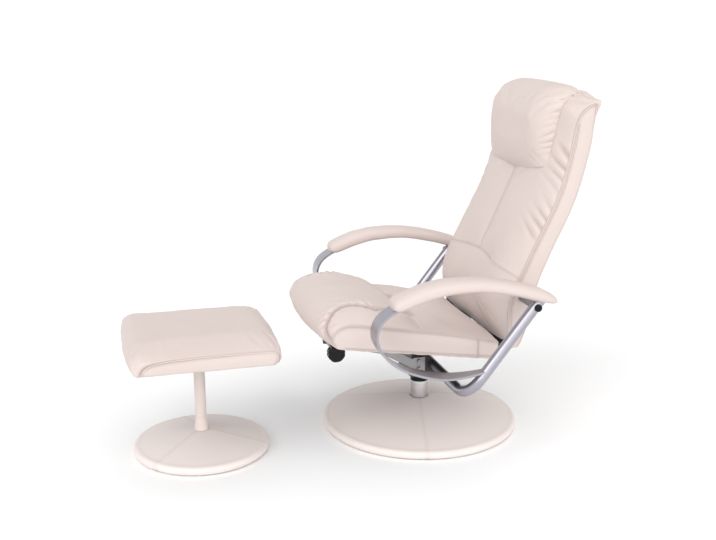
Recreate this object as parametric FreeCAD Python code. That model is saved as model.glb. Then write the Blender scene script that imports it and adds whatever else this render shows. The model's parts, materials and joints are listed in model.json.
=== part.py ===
import FreeCAD, Part
import math
import os

# Swivel recliner with a free-standing footstool, in millimetres.
# The origin is on the floor at the swivel axis, the front looks along -Y and +Z is up.

os.makedirs("parts", exist_ok=True)
V = FreeCAD.Vector
X_AXIS = V(1, 0, 0)
Z_AXIS = V(0, 0, 1)

# Fits
running_fit = 0.05
moving_gap = 0.3
bolt_hole_gap = 0.1

# Round bases: chair and footstool
chair_base_r = 286.0
chair_dome_z = 80.0
stool_base_r = 188.0
stool_dome_z = 58.0
stool_x = 24.0
stool_y = -648.0
rim_roll_r = 12.0
rim_floor_gap = 2.0
cover_t = 2.0
core_t = 8.0
glide_r = 14.0

# Column and swivel
column_r = 25.0
column_wall = 3.0
column_top_z = 131.0
collar_top_z = 158.0
washer_t = 2.0
spindle_r = 15.0
spindle_bottom_z = 30.0
flange_r = 60.0
flange_t = 6.0
hub_gap = 0.3
hub_half_w = 60.0
hub_wall = 6.0

# Side frames
frame_clear = 74.0
tube_r = 15.0
tube_wall = 2.0
tube_bend_r = 62.0
cross_y = 20.0
cross_z = 196.0
tube_top_y = 228.0
tube_top_z = 462.0
band_w = 56.0
band_t = 6.0
band_weld_w = 22.0
band_taper_y = -60.0

# Backrest pivot and the hinge between backrest and seat
pivot_y = 205.0
pivot_z = 433.0
pivot_bolt_r = 6.0
pivot_head_r = 10.0
pivot_head_t = 7.0
sleeve_r = 10.0
bush_r = 8.5
hinge_drop = 171.0
hinge_pin_r = 4.0
hinge_slot_travel = 3.2
hinge_lobe_r = 12.5
recline_max = 20.0

# Seat clamp
rod_y = -299.0
rod_z = 300.0
rod_r = 5.0
knob_r = 24.0
knob_t = 24.0
knob_inset = 87.0
rail_t = 6.0
rail_half_depth = 12.0
rail_eye_r = 9.0
bracket_t = 4.0

# Seat
seat_half_w = 255.0
seat_board_inset = 17.0
seat_board_t = 12.0
seat_bottom_front = (-300.0, 328.0)
seat_bottom_rear = (132.0, 265.0)
seat_rear_y = 140.0
seat_nose_bow = 30.0

# Backrest
back_half_w = 245.0
back_board_inset = 15.0
back_board_t = 10.0
back_bottom_z = 288.0
back_corner_z = 948.0
back_arch = 34.0
back_dip = 0.5
back_top_roll = 48.0
back_top_set = 36.0
plate_inset = 13.0
plate_t = 5.0
pillow_inset = 55.0
pillow_bottom_z = 748.0
pillow_side_rise = 28.0
pillow_face_y = 264.0
pillow_crest_z = 997.0

# Footstool cushion
stool_half_w = 210.0
stool_half_d = 205.0
stool_bottom_z = 300.0
stool_side_z = 341.0
stool_crown_z = 365.0
stool_board_t = 12.0
stool_post_r = 15.5

# Derived sizes
side_x = max(seat_half_w, back_half_w + 10.0) + frame_clear
knob_x = seat_half_w - knob_inset
seat_board_half_w = seat_half_w - seat_board_inset
back_board_half_w = back_half_w - back_board_inset
plate_x = back_half_w - plate_inset
pillow_half_w = back_half_w - pillow_inset
hinge_y = pivot_y
hinge_z = pivot_z - hinge_drop
travel = 2.0 * hinge_drop * math.sin(math.radians(recline_max / 2.0))
slide_angle = math.radians(recline_max / 2.0)
hub_bottom_z = collar_top_z + washer_t + hub_gap
hub_floor_t = 6.0
seat_slope = (seat_bottom_rear[1] - seat_bottom_front[1]) / (seat_bottom_rear[0] - seat_bottom_front[0])


def save(name, *solids):
    """Write one node as a STEP file."""
    shape = solids[0] if len(solids) == 1 else Part.makeCompound(list(solids))
    shape.exportStep("parts/" + name + ".step")


def mirror(shape):
    """The same piece on the other side of the chair."""
    return shape.mirror(V(0, 0, 0), X_AXIS)


def save_pair(name, shape):
    """Write a left piece and its right twin."""
    save("left_" + name, shape)
    save("right_" + name, mirror(shape))


def rod(x0, x1, y, z, r):
    """A round bar along X."""
    return Part.makeCylinder(r, x1 - x0, V(x0, y, z), X_AXIS)


def spline(points):
    """A smooth edge through points."""
    curve = Part.BSplineCurve()
    curve.interpolate([V(*p) for p in points])
    return curve.toShape()


def line(a, b):
    return Part.makeLine(V(*a), V(*b))


def arc(a, b, c):
    return Part.Arc(V(*a), V(*b), V(*c)).toShape()


def side_plate(outline, x0, x1):
    """A flat plate in the side view, given by its (y, z) outline, from x0 to x1."""
    points = [V(x0, y, z) for y, z in outline]
    face = Part.Face(Part.makePolygon(points + points[:1]))
    return face.extrude(V(x1 - x0, 0, 0))


def strip(path, half):
    """The outline of a flat bar of constant depth along a bent centreline."""
    upper = []
    lower = []
    for i, (y, z) in enumerate(path):
        y0, z0 = path[max(i - 1, 0)]
        y1, z1 = path[min(i + 1, len(path) - 1)]
        n = math.hypot(y1 - y0, z1 - z0)
        dy = -(z1 - z0) / n * half
        dz = (y1 - y0) / n * half
        upper.append((y + dy, z + dz))
        lower.append((y - dy, z - dz))
    return upper + lower[::-1]


def curve_at(table, z):
    """A value read off a smooth outline given by (z, y) points."""
    for (z0, y0), (z1, y1) in zip(table, table[1:]):
        if z <= z1 or (z1, y1) == table[-1]:
            return y0 + (y1 - y0) * (z - z0) / (z1 - z0)


def revolve(edges, x=0.0, y=0.0):
    """A turned piece from its (radius, height) half section, moved to an axis."""
    face = Part.Face(Part.Wire(Part.__sortEdges__(edges)))
    solid = face.revolve(V(0, 0, 0), Z_AXIS, 360)
    solid.translate(V(x, y, 0))
    return solid


def turned(points, x=0.0, y=0.0):
    """A turned piece with a straight-sided half section."""
    loop = [(r, 0, z) for r, z in points]
    return revolve([line(a, b) for a, b in zip(loop, loop[1:] + loop[:1])], x, y)


def ring(r0, r1, z0, z1, x=0.0, y=0.0):
    return turned([(r0, z0), (r1, z0), (r1, z1), (r0, z1)], x, y)


def seat_bottom(y):
    """Height of the underside of the seat at y."""
    return seat_bottom_front[1] + seat_slope * (y - seat_bottom_front[0])


def round_base(prefix, base_r, dome_z, post_r, glides, x, y):
    """A weighted round base: steel disc, foam dome, sewn cover and glides."""
    roll_x = base_r - rim_roll_r
    roll_z = rim_floor_gap + rim_roll_r
    inner_roll = rim_roll_r - cover_t
    a = math.radians(110.0)
    hole = post_r + 2.0

    def on_roll(r, angle):
        return (roll_x + r * math.cos(angle), 0, roll_z + r * math.sin(angle))

    def dome(drop, end):
        span = end[0] - hole
        rise = dome_z - drop - end[2]
        heights = [(0.0, 1.0), (0.27, 0.76), (0.62, 0.4)]
        return [(hole + span * u, 0, end[2] + rise * h) for u, h in heights] + [end]

    outer = on_roll(rim_roll_r, a)
    inner = on_roll(inner_roll, a)
    lip_r = base_r - 36.0
    outer_dome = dome(0.0, outer)
    inner_dome = dome(cover_t, inner)
    lip = [(lip_r, 0, rim_floor_gap), (lip_r, 0, rim_floor_gap + cover_t)]
    cover = revolve([
        spline(outer_dome),
        arc(outer, on_roll(rim_roll_r, 0.0), on_roll(rim_roll_r, -math.pi / 2)),
        line(on_roll(rim_roll_r, -math.pi / 2), lip[0]),
        line(lip[0], lip[1]),
        line(lip[1], on_roll(inner_roll, -math.pi / 2)),
        arc(on_roll(inner_roll, -math.pi / 2), on_roll(inner_roll, 0.0), inner),
        spline(inner_dome),
        line(inner_dome[0], outer_dome[0]),
    ], x, y)
    core_z = rim_floor_gap + cover_t
    core_top = core_z + core_t
    core = ring(12.0, roll_x - 2.0, core_z, core_top, x, y)
    foam_top = dome(cover_t, (inner[0] - 3.0, 0, inner[2] - 2.2))
    step = (flange_r + 2.0, 0, core_top + flange_t + 1.0)
    foam = revolve([
        spline(foam_top),
        line(foam_top[-1], (foam_top[-1][0], 0, core_top)),
        line((foam_top[-1][0], 0, core_top), (step[0], 0, core_top)),
        line((step[0], 0, core_top), step),
        line(step, (hole, 0, step[2])),
        line((hole, 0, step[2]), foam_top[0]),
    ], x, y)
    foam = foam.cut(cover)
    pads = [Part.makeCylinder(glide_r, core_z, V(x, y, 0))]
    for i in range(glides):
        angle = 2.0 * math.pi * (i + 0.5) / glides
        px = x + (lip_r - 20.0) * math.cos(angle)
        py = y + (lip_r - 20.0) * math.sin(angle)
        pads.append(Part.makeCylinder(glide_r, core_z, V(px, py, 0)))
    save(prefix + "_base_cover", cover)
    save(prefix + "_base_core", core)
    save(prefix + "_base_foam", foam)
    save(prefix + "_base_glides", *pads)
    return core_top


# Chair base, column and swivel spindle
core_top_z = round_base("chair", chair_base_r, chair_dome_z, column_r, 6, 0.0, 0.0)
tube_bore = column_r - column_wall
save("column_tube", turned([
    (tube_bore, core_top_z),
    (flange_r, core_top_z),
    (flange_r, core_top_z + flange_t),
    (column_r, core_top_z + flange_t),
    (column_r, column_top_z),
    (tube_bore, column_top_z),
]))
spindle_bore = spindle_r + running_fit
save("column_collar", turned([
    (spindle_bore, column_top_z - 20.0),
    (tube_bore, column_top_z - 20.0),
    (tube_bore, column_top_z),
    (column_r + 1.5, column_top_z),
    (column_r + 1.5, collar_top_z - 4.0),
    (column_r - 2.0, collar_top_z),
    (spindle_bore, collar_top_z),
]))
save("column_bush", ring(spindle_bore, tube_bore, 40.0, 62.0))
save("thrust_washer", ring(spindle_r + 0.5, column_r - 3.0, collar_top_z, collar_top_z + washer_t))
save("swivel_spindle", ring(5.0, spindle_r, spindle_bottom_z, hub_bottom_z + hub_floor_t))

# Rear tube: two diagonals and the cross run through the hub
def swept_tube(r):
    """A round bar along the bent path of the rear tube."""
    up = V(0, tube_top_y - cross_y, tube_top_z - cross_z)
    up.normalize()
    corner_l = V(side_x, cross_y, cross_z)
    corner_r = V(-side_x, cross_y, cross_z)
    top_l = V(side_x, tube_top_y, tube_top_z)
    top_r = V(-side_x, tube_top_y, tube_top_z)
    edges = [top_l]
    for corner, d_in, d_out in ((corner_l, up, V(-1, 0, 0)), (corner_r, V(1, 0, 0), up)):
        a = corner + d_in * tube_bend_r
        b = corner + d_out * tube_bend_r
        centre = corner + (d_in + d_out) * tube_bend_r
        mid = centre + (corner - centre).normalize() * tube_bend_r
        edges += [a, mid, b]
    edges.append(top_r)
    path = Part.Wire([
        Part.makeLine(edges[0], edges[1]),
        Part.Arc(edges[1], edges[2], edges[3]).toShape(),
        Part.makeLine(edges[3], edges[4]),
        Part.Arc(edges[4], edges[5], edges[6]).toShape(),
        Part.makeLine(edges[6], edges[7]),
    ])
    profile = Part.Wire(Part.makeCircle(r, edges[0], edges[0] - edges[1]))
    return path.makePipeShell([profile], True, False)


def swept_band():
    """A flat bar along the loop of one side frame, narrowed towards its weld on the tube."""
    path = [
        (66.0, 266.0), (10.0, 260.0), (-60.0, 263.0), (-120.0, 279.0), (-175.0, 304.0),
        (-217.0, 342.0), (-236.0, 390.0), (-222.0, 430.0), (-180.0, 459.0), (-110.0, 492.0),
        (-20.0, 507.0), (60.0, 505.0), (140.0, 488.0), (214.0, 464.0), (232.0, 457.0),
    ]
    spine = Part.Wire(spline([(side_x, y, z) for y, z in path]))
    y0, z0 = path[0]
    y1, z1 = path[1]
    n = math.hypot(y1 - y0, z1 - z0)
    half = V(0, -(z1 - z0) / n, (y1 - y0) / n) * (band_t / 2.0)
    wide = X_AXIS * (band_w / 2.0)
    start = V(side_x, y0, z0)
    corners = [start - wide + half, start + wide + half, start + wide - half, start - wide - half]
    maker = Part.BRepOffsetAPI.MakePipeShell(spine)
    maker.setBiNormalMode(X_AXIS)
    maker.add(Part.makePolygon(corners + corners[:1]))
    maker.build()
    maker.makeSolid()
    band = maker.shape()
    for side in (-1, 1):
        outline = [(band_w / 2.0, band_taper_y), (band_weld_w / 2.0, y0), (band_weld_w / 2.0, y0 + 20.0)]
        outline += [(band_w, y0 + 20.0), (band_w, band_taper_y)]
        loop = [V(side_x + side * x, y, z0 - 40.0) for x, y in outline]
        waste = Part.Face(Part.makePolygon(loop + loop[:1])).extrude(V(0, 0, 80.0))
        band = band.cut(waste)
    return max(band.Solids, key=lambda solid: solid.Volume)


tube_full = swept_tube(tube_r)
tube_bore_shape = swept_tube(tube_r - tube_wall)
band_full = swept_band()
hoop = band_full.cut(tube_full)
hoop = max(hoop.Solids, key=lambda s: s.Volume)
bolt_hole = rod(-side_x - 40.0, side_x + 40.0, pivot_y, pivot_z, pivot_bolt_r)
tube = tube_full.cut(tube_bore_shape).cut(bolt_hole)
tube = max(tube.Solids, key=lambda s: s.Volume)
save("rear_u_tube", tube)
save_pair("hoop", hoop)


# Arm pads: padded sleeves round the top of the hoops
def pad_section(y, bottom, top, w):
    h = top - bottom
    low = 0.72 * w
    high = 0.66 * w
    shoulder = top - 0.13 * h
    belly = bottom + 0.46 * h
    x = side_x
    return Part.Wire([
        line((x - low, y, bottom), (x + low, y, bottom)),
        arc((x + low, y, bottom), (x + w, y, belly), (x + high, y, shoulder)),
        arc((x + high, y, shoulder), (x, y, top), (x - high, y, shoulder)),
        arc((x - high, y, shoulder), (x - w, y, belly), (x - low, y, bottom)),
    ])


pad_stations = [
    (-193.0, 454.0, 481.0, 30.5), (-187.0, 451.0, 486.0, 33.5), (-168.0, 452.0, 494.0, 35.5),
    (-118.0, 469.0, 514.0, 36.0), (-64.0, 483.0, 524.0, 36.0), (-10.0, 488.0, 526.0, 36.0),
    (45.0, 487.0, 524.0, 36.0), (101.0, 478.0, 515.0, 36.0), (157.0, 464.0, 502.0, 35.5),
    (212.0, 447.0, 485.0, 34.0), (248.0, 440.0, 466.0, 28.0), (262.0, 440.0, 452.0, 15.0),
]
pad = Part.makeLoft([pad_section(*s) for s in pad_stations], True, False)
pad = pad.cut(band_full).cut(tube_full)
pad = max(pad.Solids, key=lambda s: s.Volume)
save_pair("arm_pad", pad)

# Hub housing on the spindle
cheek = [(-45.0, hub_bottom_z), (62.0, hub_bottom_z), (62.0, 168.0), (12.0, 220.0), (-45.0, 228.0)]
box = side_plate(cheek, -hub_half_w, hub_half_w)
hollow = [(-45.0 + hub_wall, hub_bottom_z + hub_floor_t), (80.0, hub_bottom_z + hub_floor_t)]
hollow += [(80.0, 260.0), (-45.0 + hub_wall, 260.0)]
hub = box.cut(side_plate(hollow, -hub_half_w + hub_wall, hub_half_w - hub_wall))
hub = hub.cut(tube_full)
hub = hub.cut(Part.makeCylinder(spindle_r, 60.0, V(0, 0, hub_bottom_z - 10.0)))
rail_bolt_spots = [(-24.0, 187.0), (-24.0, 210.0)]
for y, z in rail_bolt_spots:
    hub = hub.cut(rod(-80.0, 80.0, y, z, 4.0 + bolt_hole_gap))
save("hub_housing", hub)

# Cranked slide rails, bolted to the hub, with the clamp rod at the front
rail_path = [(-20.0, 192.0), (-46.0, 206.0), (-132.0, 254.0), (rod_y + 5.0, rod_z - 2.0)]
rail_x0 = hub_half_w
rail_x1 = hub_half_w + rail_t
rail = side_plate(strip(rail_path, rail_half_depth), rail_x0, rail_x1)
rail_foot = [(-42.0, 174.0), (-6.0, 174.0), (-6.0, 222.0), (-42.0, 222.0)]
rail = rail.fuse(side_plate(rail_foot, rail_x0, rail_x1))
rail = rail.fuse(rod(rail_x0, rail_x1, rod_y, rod_z, rail_eye_r))
rail = rail.cut(rod(rail_x0, rail_x1, rod_y, rod_z, rod_r + running_fit))
bolts = []
for y, z in rail_bolt_spots:
    rail = rail.cut(rod(rail_x0, rail_x1, y, z, 4.0 + bolt_hole_gap))
    head = Part.makeCylinder(6.5, 5.0, V(rail_x1, y, z), X_AXIS)
    shank = rod(hub_half_w - hub_wall - 8.0, rail_x1, y, z, 4.0)
    nut = rod(hub_half_w - hub_wall - 6.0, hub_half_w - hub_wall, y, z, 6.5)
    bolt = head.fuse(shank).fuse(nut)
    bolts += [bolt, mirror(bolt)]
rail = rail.removeSplitter()
save_pair("slide_rail", rail)
save("rail_bolts", *bolts)

# Clamp rod and knob
rod_x0 = -rail_x1 - 24.0
knob_bore_depth = 14.0
save("clamp_rod", rod(rod_x0, knob_x + knob_bore_depth, rod_y, rod_z, rod_r))
knob = rod(knob_x, knob_x + knob_t, rod_y, rod_z, knob_r)
knob = knob.makeFillet(5.0, [e for e in knob.Edges if e.Closed])
for i in range(8):
    a = 2.0 * math.pi * i / 8
    y = rod_y + (knob_r + 3.0) * math.cos(a)
    z = rod_z + (knob_r + 3.0) * math.sin(a)
    knob = knob.cut(rod(knob_x - 1.0, knob_x + knob_t + 1.0, y, z, 5.0))
knob = knob.cut(rod(knob_x - 1.0, knob_x + knob_bore_depth, rod_y, rod_z, rod_r))
save("clamp_knob", knob)
nut_x0 = -rail_x1 - 4.0 - bracket_t - 14.0
nut = rod(nut_x0, nut_x0 + 12.0, rod_y, rod_z, 8.5)
nut = nut.cut(rod(nut_x0, nut_x0 + 12.0, rod_y, rod_z, rod_r))
save("clamp_nut", nut)

# Seat board, slotted clamp brackets and rear hinge arms
board_outline = [
    (seat_bottom_front[0] + 6.0, seat_bottom(seat_bottom_front[0] + 6.0)),
    (seat_bottom_rear[0] - 6.0, seat_bottom(seat_bottom_rear[0] - 6.0)),
    (seat_bottom_rear[0] - 6.0, seat_bottom(seat_bottom_rear[0] - 6.0) + seat_board_t),
    (seat_bottom_front[0] + 6.0, seat_bottom(seat_bottom_front[0] + 6.0) + seat_board_t),
]
seat_board = side_plate(board_outline, -seat_board_half_w, seat_board_half_w)
save("seat_board", seat_board)


def flange(y0, y1, t, x0, x1):
    """A strip of flat steel under the sloping seat board."""
    outline = [(y0, seat_bottom(y0)), (y1, seat_bottom(y1))]
    outline += [(y1, seat_bottom(y1) - t), (y0, seat_bottom(y0) - t)]
    return side_plate(outline, x0, x1)


slot_back = (math.cos(slide_angle), -math.sin(slide_angle))
slot_len = travel + 1.0
slot_end = (rod_y + slot_back[0] * slot_len, rod_z + slot_back[1] * slot_len)
slot_x0 = rail_x1 + moving_gap
slot_x1 = slot_x0 + bracket_t
slot_r = rod_r + moving_gap
web = [
    (rod_y - 9.0, seat_bottom(rod_y - 9.0)), (slot_end[0] + 18.0, seat_bottom(slot_end[0] + 18.0)),
    (slot_end[0] + 18.0, slot_end[1] - 12.0), (rod_y - 9.0, rod_z - 9.0),
]
bracket = side_plate(web, slot_x0, slot_x1)
bracket = bracket.fuse(flange(rod_y + 8.0, slot_end[0] + 18.0, bracket_t, slot_x0, slot_x1 + 32.0))
slot = side_plate(strip([(rod_y, rod_z), slot_end], slot_r), slot_x0, slot_x1)
slot = slot.fuse(rod(slot_x0, slot_x1, rod_y, rod_z, slot_r))
slot = slot.fuse(rod(slot_x0, slot_x1, slot_end[0], slot_end[1], slot_r))
bracket = bracket.cut(slot).removeSplitter()
save("slot_brackets", bracket, mirror(bracket))

arm_x1 = 146.5
arm_x0 = arm_x1 - 5.0
arm_outline = [
    (30.0, seat_bottom(30.0)), (118.0, seat_bottom(118.0)), (144.0, seat_bottom(144.0) - 1.5),
    (hinge_y, hinge_z + hinge_lobe_r), (hinge_y, hinge_z - hinge_lobe_r),
    (120.0, seat_bottom(118.0) - 24.0), (30.0, seat_bottom(30.0) - 12.0),
]
arm = side_plate(arm_outline, arm_x0, arm_x1)
arm = arm.fuse(rod(arm_x0, arm_x1, hinge_y, hinge_z, hinge_lobe_r))
arm = arm.fuse(flange(30.0, 118.0, bracket_t, arm_x0 - 28.0, arm_x1))
pin_hole_r = hinge_pin_r + moving_gap
down = (-math.sin(slide_angle), -math.cos(slide_angle))
hole_end = (hinge_y + down[0] * hinge_slot_travel, hinge_z + down[1] * hinge_slot_travel)
hole = side_plate(strip([(hinge_y, hinge_z), hole_end], pin_hole_r), arm_x0, arm_x1)
hole = hole.fuse(rod(arm_x0, arm_x1, hinge_y, hinge_z, pin_hole_r))
hole = hole.fuse(rod(arm_x0, arm_x1, hole_end[0], hole_end[1], pin_hole_r))
arm = arm.cut(hole).removeSplitter()
save("seat_hinge_arms", arm, mirror(arm))

screws = []
for y, x in ((-278.0, 88.0), (-240.0, 88.0), (48.0, 126.0), (100.0, 126.0)):
    z = seat_bottom(y) - bracket_t
    head = Part.makeSphere(6.0, V(x, y, z + 3.2))
    head = head.common(side_plate([(y - 9, z + 9 * -seat_slope), (y + 9, z - 9 * -seat_slope),
                                   (y + 9, z - 12), (y - 9, z - 12)], x - 9, x + 9))
    screws += [head, mirror(head)]
save("seat_screws", *screws)

# Seat cushion: a loft across the seat through its side profiles
seat_side_top = [
    (seat_rear_y, 317.0), (82.0, 330.0), (24.0, 344.0), (-40.0, 357.0), (-70.0, 361.0),
    (-105.0, 368.0), (-160.0, 377.0), (-215.0, 386.0), (-262.0, 395.0), (-298.0, 395.0),
    (-322.0, 380.0), (-332.0, 359.0), (-322.0, 343.0), (-300.0, 331.0),
]
seat_mid_top = [
    (seat_rear_y, 328.0), (82.0, 340.0), (24.0, 354.0), (-40.0, 367.0), (-70.0, 366.0),
    (-105.0, 392.0), (-160.0, 420.0), (-215.0, 435.0), (-262.0, 434.0), (-300.0, 419.0),
    (-324.0, 394.0), (-335.0, 363.0), (-323.0, 343.0), (-300.0, 331.0),
]
bow_weight = [0, 0, 0, 0, 0, 0, 0.05, 0.2, 0.5, 0.85, 1.0, 1.0, 0.8, 0.3]


def seat_profile(x):
    u = abs(x) / seat_half_w
    crown = 1.0 - u ** 6
    bow = seat_nose_bow * (1.0 - u ** 2)
    top = []
    for (ys, zs), (ym, zm), w in zip(seat_side_top, seat_mid_top, bow_weight):
        top.append((x, ys + (ym - ys) * crown - bow * w, zs + (zm - zs) * crown))
    rear = (x, seat_rear_y, seat_bottom(seat_rear_y))
    return Part.Wire([spline(top), line(top[-1], rear), line(rear, top[0])])


seat_x = [-1.0, -0.95, -0.86, -0.6, 0.0, 0.6, 0.86, 0.95, 1.0]
seat_cushion = Part.makeLoft([seat_profile(seat_half_w * u) for u in seat_x], True, False)
seat_cushion = seat_cushion.cut(seat_board)
save("seat_cushion", max(seat_cushion.Solids, key=lambda s: s.Volume))

# Backrest outlines seen from the side, as (z, y): front seam, how far the front swells from it, and rear
seam_line = [(288, 172), (340, 167), (400, 167), (440, 175), (508, 207), (576, 238), (629, 265),
             (709, 302), (789, 323), (855, 335), (920, 342), (1010, 350)]
bulge_line = [(288, 14), (320, 20), (340, 24), (370, 34), (400, 42), (440, 49), (508, 53), (576, 51),
              (629, 50), (709, 49), (789, 43), (855, 36), (920, 26), (1010, 12)]
rear_line = [(288, 210), (340, 232), (400, 245), (463, 259), (558, 298), (626, 333), (692, 362),
             (773, 384), (853, 401), (919, 406), (1010, 410)]
levels = [0.0, 0.08, 0.16, 0.24, 0.34, 0.44, 0.54, 0.64, 0.74, 0.84, 0.9, 0.94, 0.975, 1.0]


def back_top(x):
    return back_corner_z + back_arch * (1.0 - abs(x / back_half_w) ** 8)


def mid_y(z):
    """The middle plane of the backrest, where the board is."""
    return 0.5 * (curve_at(seam_line, z) + curve_at(rear_line, z))


def back_heights(x):
    return [back_bottom_z + (back_top(x) - back_bottom_z) * u for u in levels]


def front_y(x, z):
    u = abs(x / back_half_w)
    sunken = back_dip * max(1.0 - (u / 0.7) ** 2, 0.0) ** 2
    swell = curve_at(bulge_line, z) * (1.0 - u ** 6) * (1.0 - sunken)
    below_top = max(back_top(x) - z, 0.0)
    rolled = back_top_set * max(1.0 - below_top / back_top_roll, 0.0) ** 2
    return curve_at(seam_line, z) - swell + rolled


def rear_y(x, z):
    return curve_at(rear_line, z) - 10.0 + 14.0 * (1.0 - abs(x / back_half_w) ** 4)


def back_wire(x, front, rear):
    heights = back_heights(x)
    front_points = [(x, front(x, z), z) for z in heights]
    rear_points = [(x, rear(x, z), z) for z in heights]
    return Part.Wire([
        spline(front_points),
        line(front_points[-1], rear_points[-1]),
        spline(rear_points[::-1]),
        line(rear_points[0], front_points[0]),
    ])


def split_y(x, z):
    return mid_y(z) - back_board_t / 2.0


back_x = [-1.0, -0.94, -0.84, -0.68, -0.35, 0.0, 0.35, 0.68, 0.84, 0.94, 1.0]
back_full = Part.makeLoft([back_wire(back_half_w * u, front_y, rear_y) for u in back_x], True, False)

# The curved plane on the front of the board parts the front cushion from the rear panel
reach = back_half_w + 40.0
split_heights = [290.0 + 70.0 * i for i in range(11)]
split_edge = spline([(-reach, split_y(0, z), z) for z in [270.0] + split_heights + [1040.0]])
plane_low = split_edge.Vertexes[0].Point
plane_high = split_edge.Vertexes[-1].Point
front_low = (-reach, 0.0, plane_low.z)
front_high = (-reach, 0.0, plane_high.z)
front_side = Part.Face(Part.Wire([
    split_edge,
    line(plane_high, front_high),
    line(front_high, front_low),
    line(front_low, plane_low),
])).extrude(V(2.0 * reach, 0, 0))
back_front = back_full.common(front_side)
back_rear = back_full.cut(front_side)
board_room = Part.makeBox(2.0 * back_board_half_w, 600.0, 630.0, V(-back_board_half_w, 0, 302.0))
behind = front_side.copy()
behind.translate(V(0, back_board_t, 0))
back_board = behind.cut(front_side).common(board_room)
back_board = max(back_board.Solids, key=lambda s: s.Volume)
back_rear = back_rear.cut(back_board)

# Side plates of the backrest with bushes on the pivot bolts
plate_path = [(mid_y(pivot_z + h), pivot_z + h) for h in (-61.0, -33.0, 0.0, 37.0, 72.0)]
plate = side_plate(strip(plate_path, 14.0), plate_x, plate_x + plate_t)
plate = plate.fuse(rod(plate_x, plate_x + plate_t, pivot_y, pivot_z, 19.0)).removeSplitter()
plate = plate.cut(rod(plate_x, plate_x + plate_t, pivot_y, pivot_z, bush_r))
bush = rod(plate_x - 1.0, plate_x + plate_t + 4.0, pivot_y, pivot_z, bush_r)
bush_outer = bush
bush = bush.cut(rod(plate_x - 1.0, plate_x + plate_t + 4.0, pivot_y, pivot_z, pivot_bolt_r + running_fit))
sleeve_x0 = back_half_w + 3.0
sleeve_x1 = side_x - tube_r
sleeve = rod(sleeve_x0, sleeve_x1, pivot_y, pivot_z, sleeve_r)
sleeve = sleeve.cut(rod(sleeve_x0, sleeve_x1, pivot_y, pivot_z, pivot_bolt_r))
bolt = rod(plate_x - 1.0, side_x + tube_r, pivot_y, pivot_z, pivot_bolt_r)
bolt_head = rod(side_x + tube_r, side_x + tube_r + pivot_head_t, pivot_y, pivot_z, pivot_head_r)
bolt_head = bolt_head.makeFillet(2.0, [e for e in bolt_head.Edges if e.Closed and e.CenterOfMass.x > side_x + 18])
bolt = bolt.fuse(bolt_head).removeSplitter()
save("back_side_plates", plate, mirror(plate))
save("pivot_bushes", bush, mirror(bush))
save("pivot_sleeves", sleeve, mirror(sleeve))
save("pivot_bolts", bolt, mirror(bolt))

# Lower brackets of the backrest with the hinge pins to the seat
low_x0 = arm_x1 + 0.5
low_x1 = low_x0 + 5.0
face_low = split_y(0, 308.0)
face_high = split_y(0, 372.0)
low_outline = [
    (hinge_y - hinge_lobe_r, hinge_z), (hinge_y + hinge_lobe_r, hinge_z),
    (hinge_y + 4.0, 296.0), (face_low, 306.0), (face_high, 372.0),
    (face_high - 18.0, 372.0), (face_low - 18.0, 306.0),
]
low = side_plate(low_outline, low_x0, low_x1)
low = low.fuse(rod(low_x0, low_x1, hinge_y, hinge_z, hinge_lobe_r))
tab = [(face_low, 312.0), (face_high, 372.0), (face_high - 4.0, 372.0), (face_low - 4.0, 312.0)]
low = low.fuse(side_plate(tab, low_x0, low_x1 + 26.0))
low = low.cut(back_board)
low = low.cut(rod(low_x0, low_x1, hinge_y, hinge_z, hinge_pin_r)).removeSplitter()
low = max(low.Solids, key=lambda s: s.Volume)
pin = rod(arm_x0 - 5.0, low_x1, hinge_y, hinge_z, hinge_pin_r)
pin = pin.fuse(rod(low_x1, low_x1 + 4.0, hinge_y, hinge_z, 7.5))
pin = pin.fuse(rod(arm_x0 - 4.5, arm_x0 - 0.5, hinge_y, hinge_z, 7.5)).removeSplitter()
save("back_hinge_brackets", low, mirror(low))
save("hinge_pins", pin, mirror(pin))

clear_hole = rod(plate_x, back_half_w + 10.0, pivot_y, pivot_z, pivot_bolt_r + 0.6)
for cutter in (plate, bush_outer, clear_hole, low):
    back_front = back_front.cut(cutter).cut(mirror(cutter))
    back_rear = back_rear.cut(cutter).cut(mirror(cutter))
back_board = back_board.cut(bush_outer).cut(mirror(bush_outer))
save("back_board", back_board)
back_front = max(back_front.Solids, key=lambda s: s.Volume)
save("back_rear_panel", max(back_rear.Solids, key=lambda s: s.Volume))


# Head pillow sewn on the front of the backrest and lapped over its top edge
def pillow_wire(u):
    x = pillow_half_w * u
    z0 = pillow_bottom_z + pillow_side_rise * u * u
    low_y = front_y(x, z0)
    face = pillow_face_y + 8.0 * u ** 4
    crest = pillow_crest_z - 4.0 * u * u
    end_y = rear_y(x, back_top(x)) - 14.0
    outline = [
        (low_y + 6.0, z0), (0.5 * (low_y + face), z0 + 6.0), (face, z0 + 34.0),
        (face + 3.0, 0.5 * (z0 + crest)), (face + 8.0, crest - 46.0), (face + 24.0, crest - 12.0),
        (face + 60.0, crest), (end_y, back_top(x) + 2.0),
    ]
    points = [(x, y, z) for y, z in outline]
    inner = (x, end_y, back_top(x) - 25.0)
    return Part.Wire([spline(points), line(points[-1], inner), line(inner, points[0])])


pillow = Part.makeLoft([pillow_wire(u) for u in (-1.0, -0.9, -0.6, 0.0, 0.6, 0.9, 1.0)], True, False)
pillow = pillow.cut(back_front).cut(back_rear)
pillow = max(pillow.Solids, key=lambda s: s.Volume)
save("head_pillow", pillow)
save("back_front_cushion", back_front)

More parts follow.
